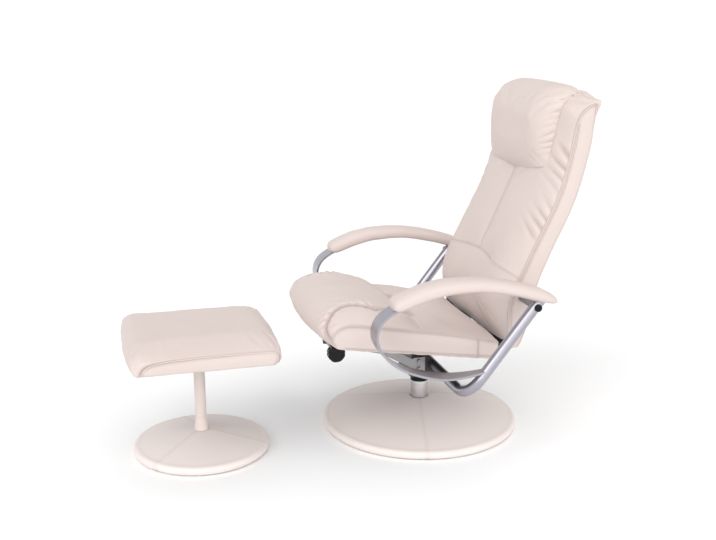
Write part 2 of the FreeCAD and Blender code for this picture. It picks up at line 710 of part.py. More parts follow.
# Footstool: base, post, plate, board and cushion
stool_core_z = round_base("stool", stool_base_r, stool_dome_z, stool_post_r, 4, stool_x, stool_y)
plate_z = stool_bottom_z - 6.0
save("stool_post", turned([
    (stool_post_r - 2.0, stool_core_z), (flange_r, stool_core_z), (flange_r, stool_core_z + flange_t),
    (stool_post_r, stool_core_z + flange_t), (stool_post_r, plate_z), (stool_post_r - 2.0, plate_z),
], stool_x, stool_y))
save("stool_post_collar", turned([
    (stool_post_r, stool_dome_z + 0.2), (stool_post_r + 4.5, stool_dome_z + 0.2),
    (stool_post_r + 3.0, stool_dome_z + 12.0), (stool_post_r + 1.0, stool_dome_z + 34.0),
    (stool_post_r, stool_dome_z + 34.0),
], stool_x, stool_y))
top_plate = Part.makeBox(150.0, 150.0, 6.0, V(stool_x - 75.0, stool_y - 75.0, plate_z))
top_plate = top_plate.makeFillet(12.0, [e for e in top_plate.Edges if abs(e.BoundBox.ZLength - 6.0) < 0.01])
stool_board = Part.makeBox(2.0 * stool_half_w - 36.0, 2.0 * stool_half_d - 44.0, stool_board_t,
                           V(stool_x - stool_half_w + 18.0, stool_y - stool_half_d + 22.0, stool_bottom_z))
stool_screws = []
for sx in (-1, 1):
    for sy in (-1, 1):
        px = stool_x + sx * 58.0
        py = stool_y + sy * 58.0
        head = Part.makeCone(4.0, 6.5, 3.0, V(px, py, plate_z - 3.0))
        stool_screws.append(head)
save("stool_top_plate", top_plate)
save("stool_board", stool_board)
save("stool_screws", *stool_screws)


def stool_profile(u):
    """A level pad with rolled front and rear ends, drawn in at the sides."""
    x = stool_x + stool_half_w * u
    crown = 1.0 - abs(u) ** 7
    half_d = stool_half_d - 14.0 * abs(u) ** 3
    top = stool_side_z + (stool_crown_z - stool_side_z) * crown
    h = top - stool_bottom_z
    outline = [
        (-half_d + 20.0, 0.0), (-half_d + 4.0, 0.22 * h), (-half_d, 0.5 * h), (-half_d + 9.0, 0.78 * h),
        (-half_d + 34.0, 0.93 * h), (-half_d * 0.5, 0.99 * h), (0.0, h), (half_d * 0.5, 0.99 * h),
        (half_d - 34.0, 0.93 * h), (half_d - 9.0, 0.78 * h), (half_d, 0.5 * h), (half_d - 4.0, 0.22 * h),
        (half_d - 20.0, 0.0),
    ]
    points = [(x, stool_y + y, stool_bottom_z + z) for y, z in outline]
    return Part.Wire([spline(points), line(points[-1], points[0])])


stool_cushion = Part.makeLoft([stool_profile(u) for u in (-1.0, -0.93, -0.75, 0.0, 0.75, 0.93, 1.0)], True, False)
stool_cushion = stool_cushion.cut(stool_board)
save("stool_cushion", max(stool_cushion.Solids, key=lambda s: s.Volume))
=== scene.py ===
"""Swivel recliner and footstool in cream leatherette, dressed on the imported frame."""

import json
import logging
import math
from dataclasses import dataclass, field
from enum import Enum
from typing import Any, Sequence

import bmesh
import bpy
import numpy as np
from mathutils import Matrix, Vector
from mathutils.bvhtree import BVHTree


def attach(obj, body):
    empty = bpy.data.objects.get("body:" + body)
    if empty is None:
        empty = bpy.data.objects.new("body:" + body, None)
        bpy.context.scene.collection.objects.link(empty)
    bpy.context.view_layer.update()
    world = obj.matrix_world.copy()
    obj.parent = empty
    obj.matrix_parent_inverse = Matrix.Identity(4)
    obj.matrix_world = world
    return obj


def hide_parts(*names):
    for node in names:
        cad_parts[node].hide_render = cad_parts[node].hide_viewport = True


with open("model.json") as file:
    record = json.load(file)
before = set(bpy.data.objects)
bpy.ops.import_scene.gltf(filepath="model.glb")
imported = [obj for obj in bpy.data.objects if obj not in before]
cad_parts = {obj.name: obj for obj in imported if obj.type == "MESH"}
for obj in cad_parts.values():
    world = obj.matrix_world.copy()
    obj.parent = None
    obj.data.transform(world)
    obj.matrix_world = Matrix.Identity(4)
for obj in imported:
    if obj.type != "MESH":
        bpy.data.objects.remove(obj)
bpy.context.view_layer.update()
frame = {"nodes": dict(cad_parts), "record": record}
LOG = logging.getLogger("recliner")
Point = tuple[float, float, float]
Flat = tuple[float, float]

# Millimetres in a metre
PER_M = 1000.0
# Slot of every sewn cover
COVER_SLOT = "cream_leatherette"
# Point attribute that holds how much shade is painted into a cover at its seams and folds
SHADE_LAYER = "seam"
# Middle of the footstool on the floor, in millimetres
STOOL_CENTRE = (24.0, -648.0)
# Frames of the cloth simulation
FIRST_FRAME, LAST_FRAME = 1, 20
# Both sides of the chair: right and left
SIDES = (-1.0, 1.0)


class SeamKind(Enum):
    """How two panels of a cover are joined."""

    WELT = "welt"
    TOPSTITCH = "topstitch"
    TUCK = "tuck"


class LiningAndShade(Enum):
    """Parts of a stuffed piece that are made flat black: the underside is its dust cover, and the rear and foot, in
    the gap between seat and back, are painted shade.
    """

    UNDERSIDE = "underside"
    REAR = "rear"
    FOOT = "foot"


# Small helpers


def srgb(code: str) -> tuple[float, float, float, float]:
    """Turns an sRGB colour into a linear one.

    Args:
        code: The colour as a hex value, such as "#E0D6D5".

    Returns:
        Linear red, green and blue, and an alpha of 1.
    """
    raw = [int(code[i:i + 2], 16) / 255.0 for i in (1, 3, 5)]
    linear = [c / 12.92 if c <= 0.04045 else ((c + 0.055) / 1.055) ** 2.4 for c in raw]
    return (linear[0], linear[1], linear[2], 1.0)


def per_metre(mm: float) -> float:
    """Texture scale whose pattern repeats about every so many millimetres."""
    return PER_M / mm


def add(tree: bpy.types.NodeTree, kind: str, links: dict[Any, Any] | None = None,
        values: dict[Any, Any] | None = None, **settings: Any) -> bpy.types.Node:
    """Adds one node to a tree.

    Args:
        tree: The tree that takes the node.
        kind: The node's type.
        links: Input name or index to the socket that feeds it.
        values: Input name or index to its fixed value.
        settings: The node's own properties.

    Returns:
        The new node.
    """
    node = tree.nodes.new(kind)
    for key, value in settings.items():
        setattr(node, key, value)
    for key, value in (values or {}).items():
        node.inputs[key].default_value = value
    for key, socket in (links or {}).items():
        tree.links.new(socket, node.inputs[key])
    return node


def new_object(name: str, mesh: bpy.types.Mesh) -> bpy.types.Object:
    """Puts a mesh into the scene as an object at the origin.

    Args:
        name: The object's name.
        mesh: Its mesh.

    Returns:
        The new object.
    """
    obj = bpy.data.objects.new(name, mesh)
    bpy.context.scene.collection.objects.link(obj)
    return obj


def applied(obj: bpy.types.Object) -> bpy.types.Mesh:
    """Applies an object's modifiers for good.

    Args:
        obj: The object.

    Returns:
        Its new plain mesh.
    """
    bpy.context.view_layer.update()
    graph = bpy.context.evaluated_depsgraph_get()
    plain = bpy.data.meshes.new_from_object(obj.evaluated_get(graph))
    obj.modifiers.clear()
    obj.data = plain
    return plain


def smooth(obj: bpy.types.Object, passes: int, group: str = "") -> None:
    """Adds a smoothing modifier.

    Args:
        obj: The object.
        passes: How often the points move halfway to their neighbours' middle.
        group: Vertex group that it is kept to, or none.
    """
    even = obj.modifiers.new("even", "SMOOTH")
    even.factor = 0.5
    even.iterations = passes
    even.vertex_group = group


def subdivide(obj: bpy.types.Object) -> None:
    """Adds one level of subdivision.

    Args:
        obj: The object.
    """
    fine = obj.modifiers.new("fine", "SUBSURF")
    fine.levels = 1
    fine.render_levels = 1


def read_points(mesh: bpy.types.Mesh) -> np.ndarray:
    """The places of a mesh's points.

    Args:
        mesh: The mesh.

    Returns:
        Rows of x, y and z.
    """
    flat = np.empty(len(mesh.vertices) * 3)
    mesh.vertices.foreach_get("co", flat)
    return flat.reshape(-1, 3)


def read_normals(mesh: bpy.types.Mesh) -> np.ndarray:
    """The normals of a mesh's points.

    Args:
        mesh: The mesh.

    Returns:
        Rows of x, y and z.
    """
    flat = np.empty(len(mesh.vertices) * 3)
    mesh.vertex_normals.foreach_get("vector", flat)
    return flat.reshape(-1, 3)


def write_points(mesh: bpy.types.Mesh, points: np.ndarray) -> None:
    """Moves the mesh's points to new places."""
    mesh.vertices.foreach_set("co", np.ascontiguousarray(points).ravel())
    mesh.update()


def write_shade(mesh: bpy.types.Mesh, painted_shade: np.ndarray) -> None:
    """Stores how much shade is painted at each point."""
    mesh.attributes.new(SHADE_LAYER, "FLOAT", "POINT").data.foreach_set("value", painted_shade.ravel())


def declare_padded(obj: bpy.types.Object, stands_for: Sequence[str], body: str) -> None:
    """Args:
        obj: The finished piece.
        stands_for: CAD nodes that it replaces.
        body: The body that it rides on.
    """
    obj.data.polygons.foreach_set("use_smooth", [True] * len(obj.data.polygons))
    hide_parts(*stands_for)
    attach(obj, body)


def smooth_step(values: np.ndarray, low: float, high: float) -> np.ndarray:
    """Rises smoothly from 0 at low to 1 at high."""
    t = np.clip((values - low) / (high - low), 0.0, 1.0)
    return t * t * (3.0 - 2.0 * t)


def bell(values: np.ndarray, width: float) -> np.ndarray:
    """A bell curve: 1 at zero, and nearly nothing at twice the width."""
    return np.exp(-((values / width) ** 2))


def run_along(points: np.ndarray) -> np.ndarray:
    """How far along a line each of its points is."""
    return np.concatenate([[0.0], np.cumsum(np.linalg.norm(np.diff(points, axis=0), axis=1))])


def evened(rows: np.ndarray) -> np.ndarray:
    """Smooths the kinks out of a line, between its fixed ends.

    Args:
        rows: The line's rows, which are changed.

    Returns:
        The same rows.
    """
    for _ in range(3):
        rows[1:-1] = 0.25 * rows[:-2] + 0.5 * rows[1:-1] + 0.25 * rows[2:]
    return rows


def in_metres(line: Sequence[Point], side: float = 1.0) -> list[Point]:
    """A line in millimetres, on either side of the middle, in metres."""
    return [(side * x / PER_M, y / PER_M, z / PER_M) for x, y, z in line]


def at_side(x: float, outline: Sequence[Flat]) -> list[Point]:
    """An outline in millimetres on a side plane, in metres."""
    return in_metres([(x, y, z) for y, z in outline])


def resampled(points: Sequence[Point], step: float) -> np.ndarray:
    """A smooth line through points, as evenly spaced rows.

    Args:
        points: Corner points of the line.
        step: Spacing along the line, in the same unit.

    Returns:
        Points along a rounded line.
    """
    p = np.array(points, float)
    for _ in range(2):
        cut = [p[:1]]
        for a, b in zip(p[:-1], p[1:]):
            cut.append(np.stack([0.75 * a + 0.25 * b, 0.25 * a + 0.75 * b]))
        cut.append(p[-1:])
        p = np.concatenate(cut)
    run = run_along(p)
    along = np.linspace(0.0, run[-1], max(2, int(run[-1] / step) + 1))
    return np.stack([np.interp(along, run, p[:, i]) for i in range(3)], 1)


def along_path(points: np.ndarray, path: np.ndarray) -> tuple[np.ndarray, np.ndarray]:
    """Measures points against a line.

    Args:
        points: Rows of points.
        path: Rows of points along the line.

    Returns:
        The distance of each point from the line, and how far along the line it is.
    """
    best = np.full(len(points), 1e9)
    where = np.zeros(len(points))
    start = 0.0
    for a, b in zip(path[:-1], path[1:]):
        edge = b - a
        size = float(np.linalg.norm(edge)) or 1e-9
        t = np.clip((points - a) @ edge / size ** 2, 0.0, 1.0)
        gap = np.linalg.norm(points - (a + t[:, None] * edge), axis=1)
        near = gap < best
        best[near] = gap[near]
        where[near] = start + t[near] * size
        start += size
    return best, where


def surface(mesh: bpy.types.Mesh) -> BVHTree:
    """A search tree over a mesh's faces."""
    return BVHTree.FromPolygons([Vector(p) for p in read_points(mesh)], [tuple(f.vertices) for f in mesh.polygons])


def on_front(node: str, places: Sequence[Flat]) -> list[Point]:
    """Points on the front of a CAD solid.

    Args:
        node: Name of the solid's node.
        places: Rows of x and z in millimetres.

    Returns:
        The points, in metres.
    """
    tree = surface(frame["nodes"][node].data)
    found = []
    for x, z in places:
        spot = tree.ray_cast(Vector((x / PER_M, -1.0, z / PER_M)), Vector((0.0, 1.0, 0.0)))[0]
        if spot:
            found.append(tuple(spot))
    return found


# Finishes


@dataclass(frozen=True)
class Finish:
    """A plain coated surface: mottled colour, uneven gloss and a fine relief."""

    name: str
    colour: str
    shade: str
    roughness: float
    metallic: float = 0.0
    grain_mm: float = 2.0
    depth_mm: float = 0.05
    mottle_mm: float = 140.0
    uneven: float = 0.06
    specular: float = 0.5

    def material(self) -> bpy.types.Material:
        """The finish's material, made once.

        Returns:
            The material.
        """
        found = bpy.data.materials.get(self.name)
        if found:
            return found
        material = bpy.data.materials.new(self.name)
        material.use_nodes = True
        tree = material.node_tree
        shader = tree.nodes["Principled BSDF"]
        where = add(tree, "ShaderNodeTexCoord").outputs["Object"]
        tree.links.new(self.tint(tree, where), shader.inputs["Base Color"])
        patches = add(tree, "ShaderNodeTexNoise", {"Vector": where},
                      {"Scale": per_metre(self.mottle_mm / 4.0), "Detail": 3.0}).outputs["Fac"]
        gloss = add(tree, "ShaderNodeMapRange", {"Value": patches},
                    {"To Min": self.roughness - self.uneven, "To Max": self.roughness + self.uneven})
        tree.links.new(gloss.outputs["Result"], shader.inputs["Roughness"])
        bump = add(tree, "ShaderNodeBump", {"Height": self.relief(tree, where)},
                   {"Strength": 1.0, "Distance": self.depth_mm / PER_M})
        tree.links.new(bump.outputs["Normal"], shader.inputs["Normal"])
        shader.inputs["Metallic"].default_value = self.metallic
        shader.inputs["Specular IOR Level"].default_value = self.specular
        return material

    def tint(self, tree: bpy.types.NodeTree, where: bpy.types.NodeSocket) -> bpy.types.NodeSocket:
        """The colour, drifting between two near tones.

        Args:
            tree: The material's tree.
            where: Socket that gives Object coordinates.

        Returns:
            Socket that gives the colour.
        """
        drift = add(tree, "ShaderNodeTexNoise", {"Vector": where},
                    {"Scale": per_metre(self.mottle_mm), "Detail": 2.0})
        return self.blend(tree, drift.outputs["Fac"])

    def blend(self, tree: bpy.types.NodeTree, share: bpy.types.NodeSocket) -> bpy.types.NodeSocket:
        """The finish's two tones, mixed by a share."""
        return add(tree, "ShaderNodeMix", {0: share}, {6: srgb(self.colour), 7: srgb(self.shade)},
                   data_type="RGBA").outputs[2]

    def relief(self, tree: bpy.types.NodeTree, where: bpy.types.NodeSocket) -> bpy.types.NodeSocket:
        """The height of the fine relief."""
        return add(tree, "ShaderNodeTexNoise", {"Vector": where},
                   {"Scale": per_metre(self.grain_mm), "Detail": 2.0}).outputs["Fac"]


@dataclass(frozen=True)
class Leatherette(Finish):
    """Coated upholstery cloth, embossed with a pebble grain and faintly creased in use."""

    # Colour of the shade painted into seams and folds
    seam_shade_colour: str = "#8C766D"
    crease_mm: float = 34.0
    crease_share: float = 5.0

    def tint(self, tree: bpy.types.NodeTree, where: bpy.types.NodeSocket) -> bpy.types.NodeSocket:
        """The cream colour, with shade painted into the seams and folds.

        Args:
            tree: The material's tree.
            where: Socket that gives Object coordinates.

        Returns:
            Socket that gives the colour.
        """
        plain = super().tint(tree, where)
        # Painted shade, as strong as the point attribute says
        seam = add(tree, "ShaderNodeAttribute", attribute_name=SHADE_LAYER, attribute_type="GEOMETRY")
        return add(tree, "ShaderNodeMix", {0: seam.outputs["Fac"], 6: plain}, {7: srgb(self.seam_shade_colour)},
                   data_type="RGBA").outputs[2]

    def relief(self, tree: bpy.types.NodeTree, where: bpy.types.NodeSocket) -> bpy.types.NodeSocket:
        """Pebbles with soft creases between them; the pebbles are drawn coarse enough to show.

        Args:
            tree: The material's tree.
            where: Socket that gives Object coordinates.

        Returns:
            Socket that gives the height.
        """
        pebbles = add(tree, "ShaderNodeTexVoronoi", {"Vector": where},
                      {"Scale": per_metre(self.grain_mm)}, feature="SMOOTH_F1").outputs["Distance"]
        bend = add(tree, "ShaderNodeTexNoise", {"Vector": where},
                   {"Scale": per_metre(self.crease_mm), "Detail": 4.0, "Distortion": 1.2}).outputs["Fac"]
        both = add(tree, "ShaderNodeMath", {0: bend, 2: pebbles}, {1: self.crease_share}, operation="MULTIPLY_ADD")
        return both.outputs["Value"]


@dataclass(frozen=True)
class Brushed(Finish):
    """Metal drawn or brushed one way, so its relief is stretched along the piece."""

    def relief(self, tree: bpy.types.NodeTree, where: bpy.types.NodeSocket) -> bpy.types.NodeSocket:
        """Hair lines, drawn out along the piece.

        Args:
            tree: The material's tree.
            where: Socket that gives Object coordinates.

        Returns:
            Socket that gives the height.
        """
        turned = add(tree, "ShaderNodeMapping", {"Vector": where}, {"Scale": (1.0, 0.06, 0.06)})
        return add(tree, "ShaderNodeTexNoise", {"Vector": turned.outputs["Vector"]},
                   {"Scale": per_metre(self.grain_mm), "Detail": 3.0}).outputs["Fac"]


@dataclass(frozen=True)
class Plywood(Finish):
    """Rotary-cut birch ply, with long soft figure."""

    band_mm: float = 60.0

    def tint(self, tree: bpy.types.NodeTree, where: bpy.types.NodeSocket) -> bpy.types.NodeSocket:
        """Bands of darker summer wood along the sheet.

        Args:
            tree: The material's tree.
            where: Socket that gives Object coordinates.

        Returns:
            Socket that gives the colour.
        """
        drawn = add(tree, "ShaderNodeMapping", {"Vector": where}, {"Scale": (1.0, 0.12, 1.0)})
        bands = add(tree, "ShaderNodeTexWave", {"Vector": drawn.outputs["Vector"]},
                    {"Scale": per_metre(self.band_mm), "Distortion": 6.0, "Detail": 3.0})
        return self.blend(tree, bands.outputs["Fac"])


# Coated cloth: soft sheen, broad dull highlights
CREAM = Leatherette("embossed_leatherette", "#D3C6C2", "#CEBFB9", 0.5, grain_mm=2.6, depth_mm=0.1,
                    mottle_mm=260.0, specular=0.3)
# The same cloth over the bases in a paler copy, which paints in the light that the pieces above keep off them
BASE_CREAM_LIT = Leatherette("leatherette_painted_lighter", "#EAE0DC", "#E5D9D4", 0.5, grain_mm=2.6, depth_mm=0.08,
                         mottle_mm=260.0, specular=0.3)
# Twisted polyester thread: dull, a tone lighter than the cover
THREAD = Finish("polyester_thread", "#DACCC5", "#D3C4BC", 0.7, grain_mm=0.8, depth_mm=0.02)
# Matt nickel coat on steel: blurred reflections with a cool cast
SILVER = Brushed("satin_nickel_steel", "#AFAEB6", "#A2A0A9", 0.3, metallic=1.0, grain_mm=1.2, depth_mm=0.01)
# Polished chrome plate: near-mirror reflections
CHROME = Finish("chrome_plate", "#DADADC", "#D2D2D6", 0.09, metallic=1.0, depth_mm=0.004, uneven=0.03)
# Injection-moulded ABS: deep black with a clear highlight
BLACK = Finish("black_abs", "#080808", "#0C0B0C", 0.26, grain_mm=1.5, depth_mm=0.008, uneven=0.05, specular=0.25)
# Zinc plate over pressed steel: greyish, slightly cloudy
ZINC = Finish("zinc_plate", "#A3A1A0", "#8F8E91", 0.38, metallic=1.0, grain_mm=3.0, depth_mm=0.01, mottle_mm=30.0)
# Near-black stove enamel on folded plate
ENAMEL = Finish("dark_enamel_steel", "#3F3B3B", "#333031", 0.42, metallic=0.35, grain_mm=1.2, depth_mm=0.03)
# Cream powder coat on the footstool post
POWDER = Finish("cream_powder_coat", "#E3D6D1", "#DECFC9", 0.38, grain_mm=1.6, depth_mm=0.03)
# Birch veneer, peeled and pressed: warm, with a satin face
BIRCH = Plywood("birch_plywood", "#D9BE93", "#C4A373", 0.55, grain_mm=1.0, depth_mm=0.04)
# Turned nylon: milky white and dull
NYLON = Finish("natural_nylon", "#E6E3DA", "#DEDACF", 0.5)
# Pressed wool felt: dark and fibrous, without shine
FELT = Finish("wool_felt", "#4B4744", "#3A3735", 0.95, grain_mm=1.2, depth_mm=0.4)
# Cut polyether foam: pale yellow, open and dead matt
FOAM = Finish("cut_foam", "#E7DFB9", "#DDD3A6", 0.95, grain_mm=1.5, depth_mm=0.4)
# Spun-bonded dust cover under the seats: flat black; the same black is painted on as shade in the gap between seat
# and back
DUST_COVER_AND_SHADE = Finish("dust_cover_and_painted_shade", "#1B1A1A", "#232221", 0.9, grain_mm=1.4, depth_mm=0.1)
# Matt paper-white studio floor
FLOOR = Finish("studio_floor", "#FDFDFD", "#FCFCFC", 0.8, depth_mm=0.0)

SLOT_FINISH: dict[str, Finish] = {
    COVER_SLOT: CREAM, "dark_steel": ENAMEL, "foam": FOAM, "felt": FELT, "chrome": CHROME,
    "zinc_steel": ZINC, "satin_silver": SILVER, "black_plastic": BLACK, "nylon": NYLON,
    "plywood": BIRCH, "cream_paint": POWDER,
}

# Boards whose lower face is covered in the same cloth as the cushions' undersides
LINED_BOARDS = ("seat_board", "stool_board")


# Sewn covers


@dataclass
class Seam:
    """A sewn line on a cover."""

    points: list[Point]
    kind: SeamKind
    depth: float
    width: float
    firm: float = 1.0
    step: float = 0.008

    def line(self) -> np.ndarray:
        """The seam as evenly spaced points."""
        return resampled(self.points, self.step)


@dataclass
class Gather:
    """Cloth drawn up along part of a seam, so that it falls in short folds."""

    points: list[Point]
    reach: float
    height: float
    wave: float
    seed: float
    facing: Point
    slant: float = 0.0
    swell: float = 0.0
    crisp: float = 0.75
    step: float = 0.01
    end: float = 0.03
    drift: float = 1.1
    drift_folds: float = 3.7
    swing: float = 0.38
    swing_folds: float = 5.3
    sink: float = 0.55
    fade: float = 2.2
    # Distances from the seam over which the folds and the swell rise
    root: float = 0.008
    swell_root: float = 0.015
    # The folds lie on the side that is faced, from just across the seam
    lap: Flat = (-0.001, 0.006)

    def move(self, points: np.ndarray) -> np.ndarray:
        """The height of the folds at each point.

        Args:
            points: Rows of points on the cover.

        Returns:
            How far each point stands out.
        """
        path = resampled(self.points, self.step)
        gap, along = along_path(points, path)
        steps = run_along(path)
        nearest = np.stack([np.interp(along, steps, path[:, i]) for i in range(3)], 1)
        side = smooth_step((points - nearest) @ np.array(self.facing), *self.lap)
        turn = 2.0 * math.pi / self.wave
        # Every few folds the spacing drifts and the height swings, so that no two are alike
        phase = turn * (along + self.slant * gap) + self.drift * np.sin(turn * along / self.drift_folds + self.seed)
        swing = 1.0 - self.swing + self.swing * np.sin(turn * along / self.swing_folds + 2.0 * self.seed)
        fold = np.abs(np.sin(phase / 2.0)) ** self.crisp - self.sink
        ends = smooth_step(along, 0.0, self.end) * smooth_step(steps[-1] - along, 0.0, self.end)
        rise = 0.25 + 0.75 * smooth_step(gap, 0.0, self.root)
        fade = np.exp(-((gap / self.reach) ** 2) * self.fade) * rise * ends
        return (self.height * swing * fold + self.swell * smooth_step(gap, 0.0, self.swell_root)) * fade * side


@dataclass
class Pull:
    """A corner of a cover drawn out to a point by its seams."""

    corner: Point
    tip: Point
    radius: float

    def move(self, points: np.ndarray) -> np.ndarray:
        """How each point moves when the corner is drawn out."""
        gap = np.linalg.norm(points - np.array(self.corner), axis=1)
        return bell(gap, self.radius)[:, None] * (np.array(self.tip) - np.array(self.corner))


class SeamTree:
    """Geometry Nodes that lay a round cord and a row of stitches along seam lines."""

    NAME = "sewn_line"

    def tree(self) -> bpy.types.NodeTree:
        """The node tree, made once.

        Returns:
            The tree, with named inputs for its sizes and finishes.
        """
        found = bpy.data.node_groups.get(self.NAME)
        if found:
            return found
        tree = bpy.data.node_groups.new(self.NAME, "GeometryNodeTree")
        face = tree.interface
        face.new_socket("Geometry", in_out="INPUT", socket_type="NodeSocketGeometry")
        for name in ("Cord Radius", "Stitch Spacing", "Stitch Length", "Stitch Radius"):
            face.new_socket(name, in_out="INPUT", socket_type="NodeSocketFloat")
        for name in ("Cord Finish", "Thread Finish"):
            face.new_socket(name, in_out="INPUT", socket_type="NodeSocketMaterial")
        face.new_socket("Geometry", in_out="OUTPUT", socket_type="NodeSocketGeometry")
        given = add(tree, "NodeGroupInput").outputs
        curve = add(tree, "GeometryNodeMeshToCurve", {"Mesh": given["Geometry"]}).outputs["Curve"]
        ring = add(tree, "GeometryNodeCurvePrimitiveCircle", {"Radius": given["Cord Radius"]},
                   {"Resolution": 8}).outputs["Curve"]
        cord = add(tree, "GeometryNodeCurveToMesh", {"Curve": curve, "Profile Curve": ring},
                   {"Fill Caps": True}).outputs["Mesh"]
        cord = add(tree, "GeometryNodeSetShadeSmooth", {"Geometry": cord}).outputs[0]
        cord = add(tree, "GeometryNodeSetMaterial", {"Geometry": cord, "Material": given["Cord Finish"]}).outputs[0]
        spots = add(tree, "GeometryNodeCurveToPoints", {"Curve": curve, "Length": given["Stitch Spacing"]},
                    mode="LENGTH")
        bead = add(tree, "GeometryNodeMeshCylinder",
                   {"Radius": given["Stitch Radius"], "Depth": given["Stitch Length"]}, {"Vertices": 6})
        row = add(tree, "GeometryNodeInstanceOnPoints",
                  {"Points": spots.outputs["Points"], "Instance": bead.outputs["Mesh"],
                   "Rotation": spots.outputs["Rotation"]}).outputs["Instances"]
        row = add(tree, "GeometryNodeRealizeInstances", {"Geometry": row}).outputs[0]
        row = add(tree, "GeometryNodeSetMaterial", {"Geometry": row, "Material": given["Thread Finish"]}).outputs[0]
        both = add(tree, "GeometryNodeJoinGeometry")
        tree.links.new(cord, both.inputs[0])
        tree.links.new(row, both.inputs[0])
        add(tree, "NodeGroupOutput", {0: both.outputs[0]})
        return tree

    def lay(self, name: str, lines: Sequence[np.ndarray], body: str, sizes: dict[str, float]) -> bpy.types.Object:
        """Lays cords and stitches along lines on one body.

        Args:
            name: Name of the new piece.
            lines: Rows of points, one array for each seam.
            body: The body that the piece rides on.
            sizes: Named sizes of the cord and stitches, in metres.

        Returns:
            The new piece as a plain mesh.
        """
        points: list[list[float]] = []
        edges: list[tuple[int, int]] = []
        for line in lines:
            first = len(points)
            points += line.tolist()
            edges += [(first + i, first + i + 1) for i in range(len(line) - 1)]
        mesh = bpy.data.meshes.new(name)
        mesh.from_pydata(points, edges, [])
        obj = new_object(name, mesh)
        tree = self.tree()
        modifier = obj.modifiers.new("sewing", "NODES")
        modifier.node_group = tree
        wanted: dict[str, Any] = {**sizes, "Cord Finish": CREAM.material(), "Thread Finish": THREAD.material()}
        for item in tree.interface.items_tree:
            if item.in_out == "INPUT" and item.name in wanted:
                modifier[item.identifier] = wanted[item.name]
        applied(obj)
        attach(obj, body)
        return obj


# Sizes in metres: a welt is mostly cord, a topstitched row mostly thread, and a tuck has neither
WELT_SIZES = {"Cord Radius": 0.0015, "Stitch Spacing": 0.006, "Stitch Length": 0.001, "Stitch Radius": 0.0002}
ROW_SIZES = {"Cord Radius": 0.0002, "Stitch Spacing": 0.0062, "Stitch Length": 0.0046, "Stitch Radius": 0.0006}
SEWING = ((SeamKind.WELT, WELT_SIZES, "_welts"), (SeamKind.TOPSTITCH, ROW_SIZES, "_stitches"))
# How far sewn lines stand off their cover, in metres
SEAM_LIFT = 0.0004
# How much shade is painted into the bottom of each kind of seam
SEAM_SHADE = {SeamKind.WELT: 0.85, SeamKind.TOPSTITCH: 0.65, SeamKind.TUCK: 0.65}
# A seam holds its cover down fully within the first distance and not at all past the second, in metres
HOLD = (0.003, 0.012)
# Steps in which the cloth is held
HOLD_WEIGHTS = (0.25, 0.5, 0.75, 1.0)
# Downward share of the normal from which a cover begins to rest on its board, and rests on it fully
RESTING = (0.45, 0.75)


